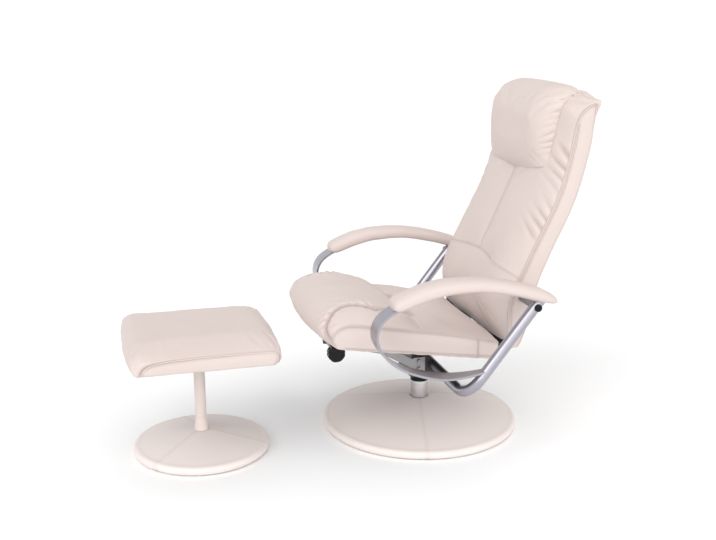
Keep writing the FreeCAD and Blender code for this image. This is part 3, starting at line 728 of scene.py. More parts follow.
@dataclass
class SoftForm:
    """A stuffed piece: a skin round its CAD solids, blown up between its seams, then sewn and gathered."""

    name: str
    body: str
    nodes: list[str]
    stands_for: list[str]
    seams: list[Seam]
    gathers: list[Gather] = field(default_factory=list)
    pulls: list[Pull] = field(default_factory=list)
    voxel: float = 0.006
    shrink: float = 0.002
    fullness: float = 0.95
    relax: int = 0
    top_facing: float = 0.675
    cap: float = 0.012
    pressure: float = 4.0
    fill: float = 0.6
    lining_and_shade: tuple[LiningAndShade, ...] = ()
    # Shade painted along the seams, as a share of their width, and into the folds: the depth that would be fully
    # dark, and the most they get
    shade_width: float = 0.55
    fold_depth: float = 0.006
    fold_shade: float = 0.3
    unevenness: float = 0.0007
    edge: float = 0.014
    margin: float = 0.035
    rear_band: float = 0.03
    foot_band: float = 0.024
    obj: bpy.types.Object | None = None
    rest: np.ndarray | None = None

    def blank(self) -> None:
        """Makes the closed skin."""
        work = bmesh.new()
        for node in self.nodes:
            work.from_mesh(frame["nodes"][node].data)
        bmesh.ops.remove_doubles(work, verts=work.verts, dist=1e-5)
        mesh = bpy.data.meshes.new(self.name)
        work.to_mesh(mesh)
        work.free()
        self.obj = new_object(self.name, mesh)
        skin = self.obj.modifiers.new("skin", "REMESH")
        skin.mode = "VOXEL"
        skin.voxel_size = self.voxel
        smooth(self.obj, 4)
        applied(self.obj)
        solid = surface(mesh)
        self.keep_outside()
        points = read_points(self.obj.data)
        near = np.array([list(solid.find_nearest(Vector(p))[0]) for p in points])
        write_points(self.obj.data, points + self.fullness * (near - points))
        if self.relax:
            self.ease_top()
        self.rest = read_points(self.obj.data)

    def ease_top(self) -> None:
        """Draws the top face taut, so that it has no kinks."""
        upward = read_normals(self.obj.data)[:, 2] > self.top_facing
        group = self.obj.vertex_groups.new(name="top")
        group.add(np.nonzero(upward)[0].tolist(), 1.0, "REPLACE")
        smooth(self.obj, self.relax, group.name)
        applied(self.obj)
        self.obj.vertex_groups.clear()

    def keep_outside(self) -> None:
        """Drops any pocket left inside the skin."""
        work = bmesh.new()
        work.from_mesh(self.obj.data)
        work.verts.ensure_lookup_table()
        left = set(range(len(work.verts)))
        groups: list[list[int]] = []
        while left:
            stack = [left.pop()]
            group = []
            while stack:
                i = stack.pop()
                group.append(i)
                for edge in work.verts[i].link_edges:
                    j = edge.other_vert(work.verts[i]).index
                    if j in left:
                        left.discard(j)
                        stack.append(j)
            groups.append(group)
        groups.sort(key=len)
        spare = [work.verts[i] for group in groups[:-1] for i in group]
        if spare:
            bmesh.ops.delete(work, geom=spare, context="VERTS")
        work.to_mesh(self.obj.data)
        work.free()

    def held(self) -> np.ndarray:
        """How firmly each point is held by seams and by the board below.

        Returns:
            From 0 for a free point to 1 for a fixed one.
        """
        points = self.rest
        normals = read_normals(self.obj.data)
        firm = np.zeros(len(points))
        for seam in self.seams:
            gap, _ = along_path(points, seam.line())
            firm = np.maximum(firm, seam.firm * (1.0 - smooth_step(gap, *HOLD)))
        if LiningAndShade.UNDERSIDE in self.lining_and_shade:
            firm = np.maximum(firm, smooth_step(-normals[:, 2], *RESTING))
        return firm

    def start_cloth(self) -> None:
        """Shrinks the skin a little and makes it cloth under pressure."""
        mesh = self.obj.data
        firm = self.held()
        group = self.obj.vertex_groups.new(name="held")
        for weight in HOLD_WEIGHTS:
            chosen = np.nonzero(np.abs(firm - weight) <= HOLD_WEIGHTS[0] / 2.0)[0]
            group.add(chosen.tolist(), weight, "REPLACE")
        write_points(mesh, self.rest - read_normals(mesh) * (self.shrink * (1.0 - firm))[:, None])
        cloth = self.obj.modifiers.new("stuffing", "CLOTH")
        cloth.settings.quality = 4
        cloth.settings.mass = 0.02
        cloth.settings.tension_stiffness = 6.0
        cloth.settings.compression_stiffness = 6.0
        cloth.settings.shear_stiffness = 3.0
        cloth.settings.bending_stiffness = 0.6
        cloth.settings.use_pressure = True
        cloth.settings.uniform_pressure_force = self.pressure
        cloth.settings.vertex_group_mass = group.name
        cloth.settings.effector_weights.gravity = 0.0
        cloth.point_cache.frame_start = FIRST_FRAME
        cloth.point_cache.frame_end = LAST_FRAME

    def end_cloth(self) -> None:
        """Keeps the blown-up shape, within the cap, as a plain mesh."""
        plain = applied(self.obj)
        move = read_points(plain) - self.rest
        size = np.linalg.norm(move, axis=1)
        LOG.info("%s: cloth moved %.1f mm on average, %.1f mm at most",
                 self.name, PER_M * size.mean(), PER_M * size.max())
        scale = np.minimum(1.0, self.cap / np.maximum(size, 1e-9))
        write_points(plain, self.rest + move * scale[:, None])

    def dress(self) -> None:
        """Subdivides the piece, sinks its seams, raises its folds, paints shade into both and gives it its finish.
        """
        subdivide(self.obj)
        smooth(self.obj, 2)
        plain = applied(self.obj)
        self.obj.vertex_groups.clear()
        plain.name = self.name
        points = read_points(plain)
        for pull in self.pulls:
            points = points + pull.move(points)
        normals = read_normals(plain)
        painted_shade = np.zeros(len(points))
        lift = np.zeros(len(points))
        for gather in self.gathers:
            lift += gather.move(points)
        skin = surface(plain)
        for seam in self.seams:
            line = seam.line()
            if seam.firm < 1.0:
                line = np.array([list(skin.find_nearest(Vector(p))[0]) for p in line])
            gap, _ = along_path(points, line)
            lift -= seam.depth * bell(gap, seam.width)
            # Painted shade along the seam, fainter where the seam holds loosely
            groove_shade = seam.firm * SEAM_SHADE[seam.kind]
            painted_shade = np.maximum(painted_shade, groove_shade * bell(gap, self.shade_width * seam.width))
        # Painted shade in the fold valleys, deeper where they sink
        painted_shade = np.maximum(painted_shade, np.clip(-lift / self.fold_depth, 0.0, self.fold_shade))
        lift += self.unevenness * self.ripple(points)
        write_points(plain, points + normals * lift[:, None])
        write_shade(plain, painted_shade)
        plain.materials.clear()
        plain.materials.append(CREAM.material())
        # The underside gets its dust cover; the rear and foot get the same black as painted shade
        if self.lining_and_shade:
            plain.materials.append(DUST_COVER_AND_SHADE.material())
            self.blacken_hidden(plain)
        declare_padded(self.obj, self.stands_for, self.body)

    @staticmethod
    def ripple(points: np.ndarray) -> np.ndarray:
        """A slow unevenness of stuffed cloth.

        Args:
            points: Rows of points, in metres.

        Returns:
            From -1 to 1 for each point.
        """
        x, y, z = points.T
        return (np.sin(41.0 * x + 13.0 * z + 1.0) * np.sin(37.0 * y - 9.0 * x + 2.0)
                + 0.6 * np.sin(83.0 * y + 29.0 * z) * np.sin(71.0 * x + 3.0)) / 1.6

    def blacken_hidden(self, mesh: bpy.types.Mesh) -> None:
        """Gives the underside its dark dust cover, and paints the faces between seat and back black as shade, short
        of the edges.

        Args:
            mesh: The piece's mesh, with the flat black as its second material.
        """
        points = read_points(mesh)
        low, high = points.min(0), points.max(0)
        for face in mesh.polygons:
            c, n = face.center, face.normal
            inside = low[0] + self.edge < c.x < high[0] - self.edge
            short = (low[1] + self.margin < c.y < high[1] - self.margin
                     and low[0] + self.margin < c.x < high[0] - self.margin)
            hidden = {LiningAndShade.UNDERSIDE: n.z < -0.85 and short,
                      LiningAndShade.REAR: n.y > 0.75 and c.y > high[1] - self.rear_band and inside,
                      LiningAndShade.FOOT: c.z < low[2] + self.foot_band and (n.y < -0.3 or n.z < -0.6) and inside}
            if any(hidden[lining] for lining in self.lining_and_shade):
                face.material_index = 1

    def seam_lines(self, kind: SeamKind, lift: float) -> list[np.ndarray]:
        """Seam lines of one kind, laid on the finished surface.

        Args:
            kind: The kind of seam that is wanted.
            lift: How far the line stands off the surface, in metres.

        Returns:
            Rows of points for each seam.
        """
        tree = surface(self.obj.data)
        lines = []
        for seam in self.seams:
            if seam.kind is not kind:
                continue
            path = []
            for p in seam.line():
                spot, normal, _, _ = tree.find_nearest(Vector(p))
                path.append(list(spot + normal * lift))
            lines.append(evened(np.array(path)))
        return lines


def stuff(forms: Sequence[SoftForm]) -> None:
    """Blows up every soft form at once, then keeps the shapes.

    Args:
        forms: The forms, each with its skin made.
    """
    scene = bpy.context.scene
    scene.frame_start = FIRST_FRAME
    scene.frame_end = LAST_FRAME
    scene.frame_set(FIRST_FRAME)
    for form in forms:
        form.start_cloth()
    for step in range(FIRST_FRAME, LAST_FRAME + 1):
        scene.frame_set(step)
    for form in forms:
        form.end_cloth()
    scene.frame_set(FIRST_FRAME)


# Sub-assemblies


@dataclass
class Seat:
    """The sliding seat: board, cushion with a knee roll, and its side borders."""

    half_width: float = 255.0
    top_seam: tuple[Flat, ...] = (
        (137, 317), (82, 330), (24, 344), (-40, 357), (-105, 368), (-160, 377), (-215, 386), (-262, 395),
        (-298, 395), (-322, 380), (-332, 359), (-322, 344))
    crease_y: float = -70.0
    crease_z: float = 363.0
    crease_arch: float = 2.0
    rear_seam: tuple[Flat, ...] = ((78, 331), (78, 272))
    hem_rows: tuple[float, ...] = (-292.0, -100.0, 128.0)
    hem_front: Flat = (-300.0, 337.0)
    hem_slope: float = -0.1458
    roll_end: tuple[Point, ...] = (
        (248, -334, 361), (230, -338, 371), (212, -339, 380), (202, -331, 395), (189, -316, 412), (178, -300, 423),
        (172, -280, 429), (171, -258, 432), (177, -235, 431), (186, -213, 427), (191, -192, 421))
    roll_rear: tuple[Point, ...] = (
        (191, -192, 421), (184, -160, 408), (160, -124, 390), (120, -96, 374), (70, -78, 366))

    def form(self) -> SoftForm:
        """The seat's cover with its seams and gathers.

        Returns:
            The form, not yet stuffed.
        """
        seams = []
        gathers = []
        for side in SIDES:
            x = side * self.half_width
            hem = [(y, self.hem_front[1] + (y - self.hem_front[0]) * self.hem_slope) for y in self.hem_rows]
            end = in_metres(self.roll_end, side)
            tail = in_metres(self.roll_rear, side)
            seams += [
                Seam(at_side(x, self.top_seam), SeamKind.TOPSTITCH, depth=0.0036, width=0.006),
                Seam(at_side(x, hem), SeamKind.TOPSTITCH, depth=0.0008, width=0.004),
                Seam(at_side(x, self.rear_seam), SeamKind.TOPSTITCH, depth=0.0015, width=0.004),
                Seam(end, SeamKind.TUCK, depth=0.0065, width=0.008),
                Seam(tail, SeamKind.TUCK, depth=0.003, width=0.01)]
            gathers += [
                Gather(end, reach=0.06, height=0.0085, wave=0.026, seed=1.3 + side, facing=(-side, 0.1, 0.5),
                       slant=0.5, swell=0.003, crisp=0.9),
                Gather(end, reach=0.03, height=0.0022, wave=0.021, seed=0.2 + side, facing=(side, -0.1, -0.5),
                       slant=-0.3),
                Gather(tail[:3], reach=0.045, height=0.006, wave=0.018, seed=0.9 + side, facing=(side, 1.0, 0.0),
                       slant=-0.4)]
        crease = in_metres([(u * self.half_width, self.crease_y, self.crease_z + self.crease_arch * (1.0 - u * u))
                            for u in (-0.4, -0.2, 0.0, 0.2, 0.4)])
        seams.append(Seam(crease, SeamKind.TUCK, depth=0.006, width=0.011))
        gathers.append(Gather(crease, reach=0.05, height=0.0016, wave=0.03, seed=0.4, facing=(0.0, -1.0, 0.4)))
        return SoftForm("seat_upholstery", "seat", ["seat_cushion", "seat_board"], ["seat_cushion"],
                        seams, gathers, cap=0.014, lining_and_shade=(LiningAndShade.UNDERSIDE, LiningAndShade.REAR), fill=0.7)


@dataclass
class Back:
    """The backrest: front with a centre seam and a lumbar tuck, side borders, rear, and a head pillow."""

    front: str = "back_front_cushion"
    half_width: float = 245.0
    front_seam: tuple[Flat, ...] = (
        (172, 290), (167, 340), (167, 400), (175, 440), (207, 508), (238, 576), (265, 629), (302, 709),
        (323, 789), (335, 855), (341, 895), (352, 922), (372, 940), (392, 947))
    rear_seam: tuple[Flat, ...] = (
        (200, 290), (222, 340), (235, 400), (249, 463), (288, 558), (323, 626), (352, 692), (374, 773),
        (391, 853), (396, 919), (397, 945))
    row_offset: float = 9.0
    row_top: float = 900.0
    gathered: Flat = (560.0, 860.0)
    tuck_z: float = 516.0
    tuck_arch: float = 14.0
    tuck_width: float = 0.985
    centre_step: float = 26.0
    ear: Point = (246.0, 412.0, 954.0)
    ear_radius: float = 0.024
    hollow_fill: float = 11.0
    hollow_reach: float = 85.0
    # Heights over which the filling of the hollow rises, and over which it fades again
    hollow_foot: Flat = (380.0, 470.0)
    hollow_top: Flat = (690.0, 780.0)
    pillow_half_width: float = 190.0
    pillow_hem: Flat = (749.0, 27.0)
    pillow_ridge: Flat = (394.0, 982.0)
    pillow_edge: tuple[Flat, ...] = (
        (291, 774), (297, 807), (304, 845), (313, 885), (321, 924), (335, 951), (354, 968), (382, 979))
    pillow_drawn: float = 955.0
    taper_from: float = 0.6
    hem_taper: float = 0.03
    tuck_in: float = 0.004
    settle_reach: float = 0.09

    def form(self) -> SoftForm:
        """The back's cover with its seams, gathers and drawn-out corners.

        Returns:
            The form, not yet stuffed.
        """
        seams = []
        gathers = []
        pulls = []
        for side in SIDES:
            x = side * self.half_width
            beside = [(y + self.row_offset, z) for y, z in self.front_seam if z < self.row_top]
            seams += [
                Seam(at_side(x, self.front_seam), SeamKind.WELT, depth=0.0015, width=0.006),
                Seam(at_side(x, beside), SeamKind.TOPSTITCH, depth=0.0006, width=0.003),
                Seam(at_side(x, self.rear_seam), SeamKind.WELT, depth=0.001, width=0.005)]
            drawn = [p for p in self.front_seam if self.gathered[0] < p[1] < self.gathered[1]]
            gathers.append(Gather(at_side(x, drawn), reach=0.08, height=0.0056, wave=0.036, seed=2.1 + side,
                                  facing=(-0.4 * side, -1.0, 0.0), slant=-0.6, crisp=1.5))
            corner, tip = in_metres([(self.half_width, *self.rear_seam[-1]), self.ear], side)
            pulls.append(Pull(corner, tip, self.ear_radius))
        centre = on_front(self.front, [(0.0, self.tuck_z + self.centre_step * i) for i in range(10)])
        # The tuck's arch drops faster towards the borders
        tuck = on_front(self.front, [(self.tuck_width * u * self.half_width,
                                      self.tuck_z - self.tuck_arch * (u ** 2 + 1.1 * u ** 8))
                                     for u in np.linspace(-1.0, 1.0, 21)])
        seams += [Seam(centre, SeamKind.TOPSTITCH, depth=0.0012, width=0.004, firm=0.2),
                  Seam(tuck, SeamKind.TOPSTITCH, depth=0.0014, width=0.004, firm=0.4)]
        return SoftForm("back_upholstery", "back",
                        [self.front, "back_rear_panel", "back_board", "back_side_plates", "pivot_bushes"],
                        [self.front, "back_rear_panel"], seams, gathers, pulls, lining_and_shade=(LiningAndShade.FOOT,))

    def fullness(self, points: np.ndarray) -> np.ndarray:
        """How far the stuffing stands out in the hollow between the fuller sides.

        Args:
            points: Rows of points, in metres.

        Returns:
            The distance for each point, in metres.
        """
        x, _, z = points.T * PER_M
        tall = smooth_step(z, *self.hollow_foot) * (1.0 - smooth_step(z, *self.hollow_top))
        return self.hollow_fill / PER_M * bell(x, self.hollow_reach) * tall

    def fill_hollow(self, back: SoftForm) -> None:
        """Moves the stuffed front out, so that its two halves lie nearly level.

        Args:
            back: The stuffed back.
        """
        mesh = back.obj.data
        points = read_points(mesh)
        points[:, 1] -= self.fullness(points) * smooth_step(-read_normals(mesh)[:, 1], 0.2, 0.5)
        write_points(mesh, points)

    def settle(self, pillow: SoftForm, back: SoftForm) -> None:
        """Draws the pillow's ends and rear hem down onto the back, so that they taper off in a rounded edge.

        Args:
            pillow: The stuffed pillow.
            back: The stuffed back that the pillow is sewn to.
        """
        tree = surface(back.obj.data)
        mesh = pillow.obj.data
        points = read_points(mesh)
        out = np.abs(points[:, 0]) / (self.pillow_half_width / PER_M)
        ends = np.clip((out - self.taper_from) / (1.0 - self.taper_from), 0.0, 1.0)
        last = points[:, 1].max()
        hem = np.clip((points[:, 1] - last) / self.hem_taper + 1.0, 0.0, 1.0)
        t = np.minimum(np.hypot(ends, hem), 1.0)
        for i in np.nonzero(t > 0.0)[0]:
            point = Vector(points[i])
            foot, normal, _, _ = tree.find_nearest(point)
            if (point - foot).dot(normal) <= 0.0:
                continue
            down = Vector((0.0, -normal.y, -normal.z)).normalized()
            below = tree.ray_cast(point, down, self.settle_reach)[0] or foot
            full = math.sqrt(1.0 - t[i] ** 2)
            points[i] = below + (point - below) * full + down * (self.tuck_in * t[i] ** 4)
        write_points(mesh, points)

    def pillow(self) -> SoftForm:
        """The head pillow's cover, sewn down all round and gathered along its ends.

        Returns:
            The form, not yet stuffed.
        """
        half = self.pillow_half_width
        low, drop = self.pillow_hem
        hem = on_front(self.front, [(u * half, low + drop * u * u) for u in np.linspace(-1.0, 1.0, 11)])
        ridge = in_metres([(u * half, *self.pillow_ridge) for u in (-1.0, 0.0, 1.0)])
        lines = [hem, ridge] + [at_side(side * half, self.pillow_edge) for side in SIDES]
        seams = [Seam(line, SeamKind.TUCK, depth=0.001, width=0.005) for line in lines]
        drawn = [p for p in self.pillow_edge if p[1] < self.pillow_drawn]
        gathers = [Gather(at_side(side * half, drawn), reach=0.05, height=0.0055, wave=0.02, seed=0.7 + side,
                          facing=(-side, -0.6, 0.0), slant=0.5, crisp=1.0) for side in SIDES]
        return SoftForm("head_pillow_cover", "back", ["head_pillow"], ["head_pillow"], seams, gathers,
                        voxel=0.005, fill=0.8)


@dataclass
class ArmPad:
    """A padded sleeve round the top of a side hoop."""

    side: float
    centre_x: float = 329.0
    stations: tuple[tuple[float, float, float, float], ...] = (
        (-192, 460, 475, 23), (-190, 455, 481, 29.5), (-185, 452, 487, 33), (-176, 451, 491, 35),
        (-164, 453, 496, 35.5), (-118, 469, 514, 36), (-64, 483, 524, 36), (-10, 488, 526, 36),
        (45, 487, 524, 36), (101, 478, 515, 36), (157, 464, 502, 35.5), (212, 447, 485, 34),
        (248, 440, 466, 28), (262, 440, 452, 15))
    # How round the section is: 1 gives an ellipse, and less a squarer side, top or bottom
    side_round: float = 0.8
    top_round: float = 0.95
    bottom_round: float = 0.7
    unevenness: float = 0.0006
    around: int = 40
    along: int = 96

    def build(self) -> bpy.types.Object:
        """Lofts the pad through its stations.

        Returns:
            The finished pad.
        """
        hand = "left" if self.side > 0 else "right"
        name = hand + "_arm_sleeve"
        table = np.array(self.stations, float)
        run = run_along(table[:, :3])
        # The rows lie closer together towards the rounded ends
        even = np.linspace(0.0, 1.0, self.along)
        t = run[-1] * (0.5 * even + 0.25 * (1.0 - np.cos(math.pi * even)))
        rows = evened(np.stack([np.interp(t, run, table[:, i]) for i in range(4)], 1))
        turn = np.linspace(0.0, 2.0 * math.pi, self.around, endpoint=False)
        c, s = np.cos(turn), np.sin(turn)
        wide = np.sign(c) * np.abs(c) ** self.side_round
        high = np.sign(s) * np.abs(s) ** np.where(s > 0, self.top_round, self.bottom_round)
        work = bmesh.new()
        rings = []
        for y, bottom, top, half in rows:
            mid = 0.5 * (bottom + top)
            tall = 0.5 * (top - bottom)
            ring = in_metres([(self.side * self.centre_x + half * a, y, mid + tall * b) for a, b in zip(wide, high)])
            rings.append([work.verts.new(p) for p in ring])
        for one, two in zip(rings[:-1], rings[1:]):
            for i in range(self.around):
                j = (i + 1) % self.around
                work.faces.new((one[i], one[j], two[j], two[i]))
        work.faces.new(rings[0][::-1])
        work.faces.new(rings[-1])
        bmesh.ops.recalc_face_normals(work, faces=work.faces)
        mesh = bpy.data.meshes.new(name)
        work.to_mesh(mesh)
        work.free()
        obj = new_object(name, mesh)
        subdivide(obj)
        plain = applied(obj)
        points = read_points(plain)
        lift = self.unevenness * SoftForm.ripple(points * 1.3)
        write_points(plain, points + read_normals(plain) * lift[:, None])
        plain.materials.append(CREAM.material())
        declare_padded(obj, [hand + "_arm_pad"], "frame")
        return obj


@dataclass
class BaseCover:
    """A sewn cover drawn over a weighted round base, with radial seams and a rolled rim."""

    prefix: str
    body: str
    centre: Flat
    radius: float
    dome_z: float
    post_r: float
    seam_angles: tuple[float, ...]
    roll_r: float = 12.0
    roll_from: float = 110.0
    roll_steps: int = 10
    turned_under: float = 36.0
    floor_gap: float = 2.0
    cloth: float = 2.0
    turns: int = 288
    row_spacing: float = 5.0
    # The dome: share of the way from post to rim, and share of its height
    dome: tuple[Flat, ...] = (
        (0.0, 1.0), (0.1, 0.93), (0.27, 0.77), (0.45, 0.585), (0.62, 0.405), (0.8, 0.215), (0.92, 0.085))
    # A seam is a broad ridge with a narrow groove: height or depth, and width
    ridge: Flat = (1.5, 8.0)
    groove: Flat = (0.9, 2.5)
    # Shade painted along a seam: strength and width
    shade_along_seam: Flat = (0.12, 3.0)
    # Distances from the post over which the seams rise
    seam_start: Flat = (4.0, 24.0)
    stitch_start: float = 16.0
    stitch_end: float = 4.0
    stitch_offset: float = 6.0
    stitch_lift: float = 0.3
    # Pleats round the rim, and the distances from it where they begin and are full
    pleats: float = 46.0
    pleat_height: float = 0.15
    pleat_band: Flat = (46.0, 16.0)

    def profile(self, drop: float) -> list[Flat]:
        """The half section of one face of the cover, from the post to under the rim.

        Args:
            drop: How far the face lies below the outer one.

        Returns:
            Radius and height of each point, in millimetres.
        """
        roll_x = self.radius - self.roll_r
        roll_z = self.floor_gap + self.roll_r
        r = self.roll_r - drop
        hole = self.post_r + 1.0
        a = math.radians(self.roll_from)
        end = (roll_x + r * math.cos(a), roll_z + r * math.sin(a))
        rise = self.dome_z - drop - end[1]
        line = [(hole + (end[0] - hole) * u, end[1] + rise * h) for u, h in self.dome]
        for i in range(self.roll_steps + 1):
            b = a + (-math.pi / 2.0 - a) * i / self.roll_steps
            line.append((roll_x + r * math.cos(b), roll_z + r * math.sin(b)))
        line.append((self.radius - self.turned_under, self.floor_gap + drop))
        return line

    def dense(self, line: Sequence[Flat]) -> np.ndarray:
        """A half section with enough points to carry the seams."""
        return resampled([(r, 0.0, z) for r, z in line], self.row_spacing)[:, [0, 2]]

    def stitch_rows(self, outer: np.ndarray, a: float) -> list[np.ndarray]:
        """The two rows of stitches beside a seam.

        Args:
            outer: The half section of the outer face.
            a: The seam's angle, in radians.

        Returns:
            Rows of points, in metres.
        """
        (x0, y0), c, s = self.centre, math.cos(a), math.sin(a)
        row = [(r, z + self.stitch_lift) for r, z in outer
               if r > self.post_r + self.stitch_start and z > self.floor_gap + self.stitch_end]
        return [np.array(in_metres([(x0 + r * c - off * s, y0 + r * s + off * c, z) for r, z in row]))
                for off in (-self.stitch_offset, self.stitch_offset)]

    def build(self) -> bpy.types.Object:
        """Turns the cover, sinks its seams, paints shade along them and sews them.

        Returns:
            The finished cover.
        """
        outer = self.dense(self.profile(0.0))
        inner = self.dense(self.profile(self.cloth))[::-1]
        section = np.concatenate([outer, inner])
        turn = np.linspace(0.0, 2.0 * math.pi, self.turns, endpoint=False)
        radius, angle = np.meshgrid(section[:, 0], turn)
        height = np.repeat(section[None, :, 1], self.turns, 0)
        painted_shade = np.zeros_like(height)
        outside = np.arange(len(section)) < len(outer)
        seam_lines = []
        for degrees in self.seam_angles:
            a = math.radians(degrees)
            off = (angle - a + math.pi) % (2.0 * math.pi) - math.pi
            # The sine falls again towards the far side, which no seam reaches
            across = np.where(np.abs(off) < 1.2, radius * np.sin(off), np.inf)
            on_top = outside[None, :] & (radius < self.radius + 1.0)
            bend = self.ridge[0] * bell(across, self.ridge[1]) - self.groove[0] * bell(across, self.groove[1])
            height += np.where(on_top, bend, 0.0) * smooth_step(radius - self.post_r, *self.seam_start)
            # Painted shade along the seam's groove
            groove_shade = self.shade_along_seam[0] * bell(across, self.shade_along_seam[1])
            painted_shade = np.maximum(painted_shade, np.where(on_top, groove_shade, 0.0))
            seam_lines += self.stitch_rows(outer, a)
        # Small uneven pleats where the cloth is drawn round the rim
        wide, narrow = self.pleat_band
        drawn = smooth_step(radius, self.radius - wide, self.radius - narrow) * outside[None, :]
        wave = np.sin(angle * self.pleats + 2.0 * np.sin(angle * 5.0))
        height += drawn * self.pleat_height * wave * np.where(height > self.roll_r, 1.0, 0.0)
        x = (self.centre[0] + radius * np.cos(angle)) / PER_M
        y = (self.centre[1] + radius * np.sin(angle)) / PER_M
        points = np.stack([x, y, height / PER_M], -1).reshape(-1, 3)
        n = len(section)
        faces = []
        for i in range(self.turns):
            k = (i + 1) % self.turns
            for j in range(n):
                m = (j + 1) % n
                faces.append((i * n + j, i * n + m, k * n + m, k * n + j))
        mesh = bpy.data.meshes.new(self.prefix + "_base_skin")
        mesh.from_pydata(points.tolist(), [], faces)
        work = bmesh.new()
        work.from_mesh(mesh)
        bmesh.ops.recalc_face_normals(work, faces=work.faces)
        work.to_mesh(mesh)
        work.free()
        write_shade(mesh, painted_shade)
        # A paler copy of the cream: painted light where the piece above shades the base
        mesh.materials.append(BASE_CREAM_LIT.material())
        obj = new_object(mesh.name, mesh)
        declare_padded(obj, [self.prefix + "_base_cover"], self.body)
        SeamTree().lay(self.prefix + "_base_stitches", seam_lines, self.body, ROW_SIZES)
        return obj


@dataclass
class Footstool:
    """The free-standing footstool's cushion, with a wrapped top panel and inset side panels."""

    centre: Flat = STOOL_CENTRE
    half_width: float = 210.0
    panel: tuple[Flat, ...] = (
        (-166, 303), (-166, 313), (-154, 325), (-120, 334), (-42, 338.5), (58, 340), (140, 341), (174, 340),
        (187, 332), (187, 318), (179, 303))

    def form(self) -> SoftForm:
        """The cushion's cover with its panel seams.

        Returns:
            The form, not yet stuffed.
        """
        seams = []
        for side in SIDES:
            x = self.centre[0] + side * self.half_width
            outline = [(self.centre[1] + y, z) for y, z in self.panel]
            seams.append(Seam(at_side(x, outline), SeamKind.WELT, depth=0.0028, width=0.006))
        return SoftForm("stool_upholstery", "footstool", ["stool_cushion", "stool_board"], ["stool_cushion"],
                        seams, voxel=0.0055, shrink=0.0005, cap=0.004, relax=60, lining_and_shade=(LiningAndShade.UNDERSIDE,),
                        fill=0.7)


class Hardware:
    """Frame, base and mechanism pieces that keep their CAD shapes."""

    def dress(self) -> None:
        """Gives every CAD node the finish of its slot, and the boards their cloth."""
        for part in frame["record"]["subparts"]:
            node = frame["nodes"][part["node"]]
            finish = DUST_COVER_AND_SHADE if part["node"] in LINED_BOARDS else SLOT_FINISH[part["material_slot"]]
            node.data.materials.clear()
            node.data.materials.append(finish.material())


@dataclass(frozen=True)
class Lamp:
    """A far, broad lamp: the direction it stands in, its strength and its spread in degrees."""

    name: str
    place: Point
    power: float
    spread: float

    def hang(self, scene: bpy.types.Scene) -> None:
        """Adds the lamp, shining towards the origin.

        Args:
            scene: The scene that it lights.
        """
        data = bpy.data.lights.new(self.name, "SUN")
        data.energy = self.power
        data.angle = math.radians(self.spread)
        lamp = bpy.data.objects.new(self.name, data)
        scene.collection.objects.link(lamp)
        lamp.rotation_euler = (-Vector(self.place)).to_track_quat("-Z", "Y").to_euler()


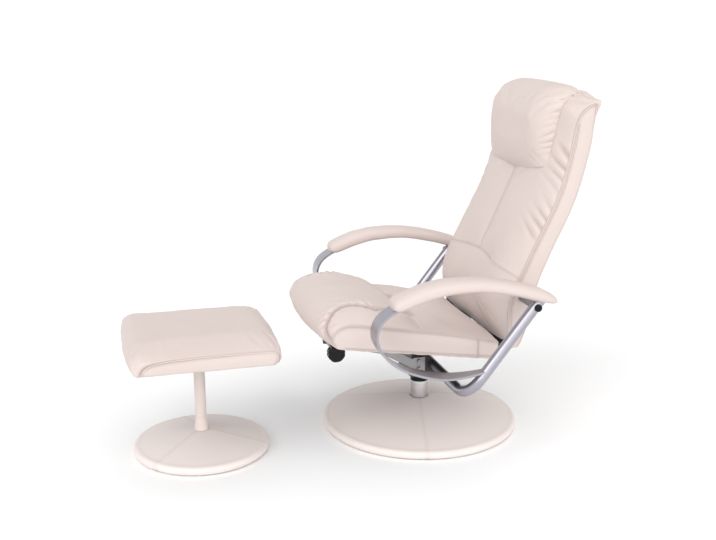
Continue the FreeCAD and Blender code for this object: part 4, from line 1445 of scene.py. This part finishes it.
@dataclass
class Studio:
    """Pale floor, soft light and a camera at the photograph's angle."""

    eye: Point = (2.621, -0.915, 1.185)
    tilt: float = 14.60
    turn: float = 74.5
    lens: float = 50.0
    sensor: float = 36.0
    floor_half: float = 30.0
    lamps: tuple[Lamp, ...] = (
        Lamp("key", (1.3, -1.5, 1.6), 1.1, 50.0),
        Lamp("fill", (2.4, 0.7, 1.1), 1.0, 70.0))
    # Strength of the sky at the walls, overhead and in the flags
    wall: float = 1.04
    ceiling: float = 0.82
    flag: float = 0.62
    # Upward share of the direction where the ceiling and the flags begin and are full
    ceiling_rise: Flat = (0.15, 0.75)
    flag_rise: Flat = (0.1, 0.25)
    # Sideways share of the direction where the flags begin and are full
    flag_side: Flat = (0.5, 0.9)

    def build(self) -> None:
        """Makes the floor, lights and camera."""
        scene = bpy.context.scene
        mesh = bpy.data.meshes.new("floor")
        h = self.floor_half
        mesh.from_pydata([(-h, -h, 0), (h, -h, 0), (h, h, 0), (-h, h, 0)], [], [(0, 1, 2, 3)])
        mesh.materials.append(FLOOR.material())
        new_object("floor", mesh)
        self.sky(scene)
        for lamp in self.lamps:
            lamp.hang(scene)
        data = bpy.data.cameras.new("photo_angle")
        data.lens = self.lens
        data.sensor_width = self.sensor
        camera = bpy.data.objects.new("photo_angle", data)
        scene.collection.objects.link(camera)
        camera.location = self.eye
        camera.rotation_euler = (math.radians(90.0 - self.tilt), 0.0, math.radians(self.turn))
        scene.camera = camera
        scene.view_settings.view_transform = "Standard"

    def sky(self, scene: bpy.types.Scene) -> None:
        """Lights the scene like a white tent, with a darker flag on either side for the metal to mirror.

        Args:
            scene: The scene that is lit.
        """
        world = bpy.data.worlds.new("studio")
        scene.world = world
        world.use_nodes = True
        tree = world.node_tree
        where = add(tree, "ShaderNodeTexCoord").outputs["Generated"]
        height = add(tree, "ShaderNodeSeparateXYZ", {"Vector": where}).outputs["Z"]
        low, high = self.ceiling_rise
        level = add(tree, "ShaderNodeMapRange", {"Value": height},
                    {"From Min": low, "From Max": high, "To Min": self.wall, "To Max": self.ceiling})
        yaw = math.radians(self.turn)
        beside = add(tree, "ShaderNodeVectorMath", {0: where}, {1: (math.cos(yaw), math.sin(yaw), 0.0)},
                     operation="DOT_PRODUCT").outputs["Value"]
        beside = add(tree, "ShaderNodeMath", {0: beside}, operation="ABSOLUTE").outputs["Value"]
        low, high = self.flag_rise
        raised = add(tree, "ShaderNodeMapRange", {"Value": height},
                     {"From Min": low, "From Max": high}).outputs["Result"]
        beside = add(tree, "ShaderNodeMath", {0: beside, 1: raised}, operation="MULTIPLY").outputs["Value"]
        low, high = self.flag_side
        flags = add(tree, "ShaderNodeMapRange", {"Value": beside},
                    {"From Min": low, "From Max": high, "To Min": 1.0, "To Max": self.flag},
                    interpolation_type="SMOOTHSTEP")
        both = add(tree, "ShaderNodeMath", {0: level.outputs["Result"], 1: flags.outputs["Result"]},
                   operation="MULTIPLY")
        tree.links.new(both.outputs["Value"], tree.nodes["Background"].inputs["Strength"])
        tree.nodes["Background"].inputs["Color"].default_value = srgb("#FFFFFF")


def main() -> None:
    """Builds every sub-assembly in order and reports each piece."""
    logging.basicConfig(level=logging.INFO, format="%(name)s: %(message)s")
    Studio().build()
    Hardware().dress()
    chair_cover = BaseCover("chair", "base", centre=(0.0, 0.0), radius=286.0, dome_z=80.0, post_r=25.0,
                            seam_angles=(-14.0, 106.0, 226.0))
    stool_cover = BaseCover("stool", "footstool", centre=STOOL_CENTRE, radius=188.0, dome_z=58.0, post_r=15.5,
                            seam_angles=(-48.0, 68.0, 190.0))
    for piece in (chair_cover.build(), stool_cover.build(), ArmPad(1.0).build(), ArmPad(-1.0).build()):
        LOG.info("%s: %d faces", piece.name, len(piece.data.polygons))
    backrest = Back()
    back, pillow = backrest.form(), backrest.pillow()
    forms = [Seat().form(), back, pillow, Footstool().form()]
    for form in forms:
        form.blank()
    stuff(forms)
    backrest.fill_hollow(back)
    backrest.settle(pillow, back)
    sewing = SeamTree()
    for form in forms:
        form.dress()
        LOG.info("%s: %d faces", form.name, len(form.obj.data.polygons))
        for kind, sizes, ending in SEWING:
            lines = form.seam_lines(kind, SEAM_LIFT)
            if lines:
                sewing.lay(form.name + ending, lines, form.body, sizes)


if __name__ == "__main__":
    main()
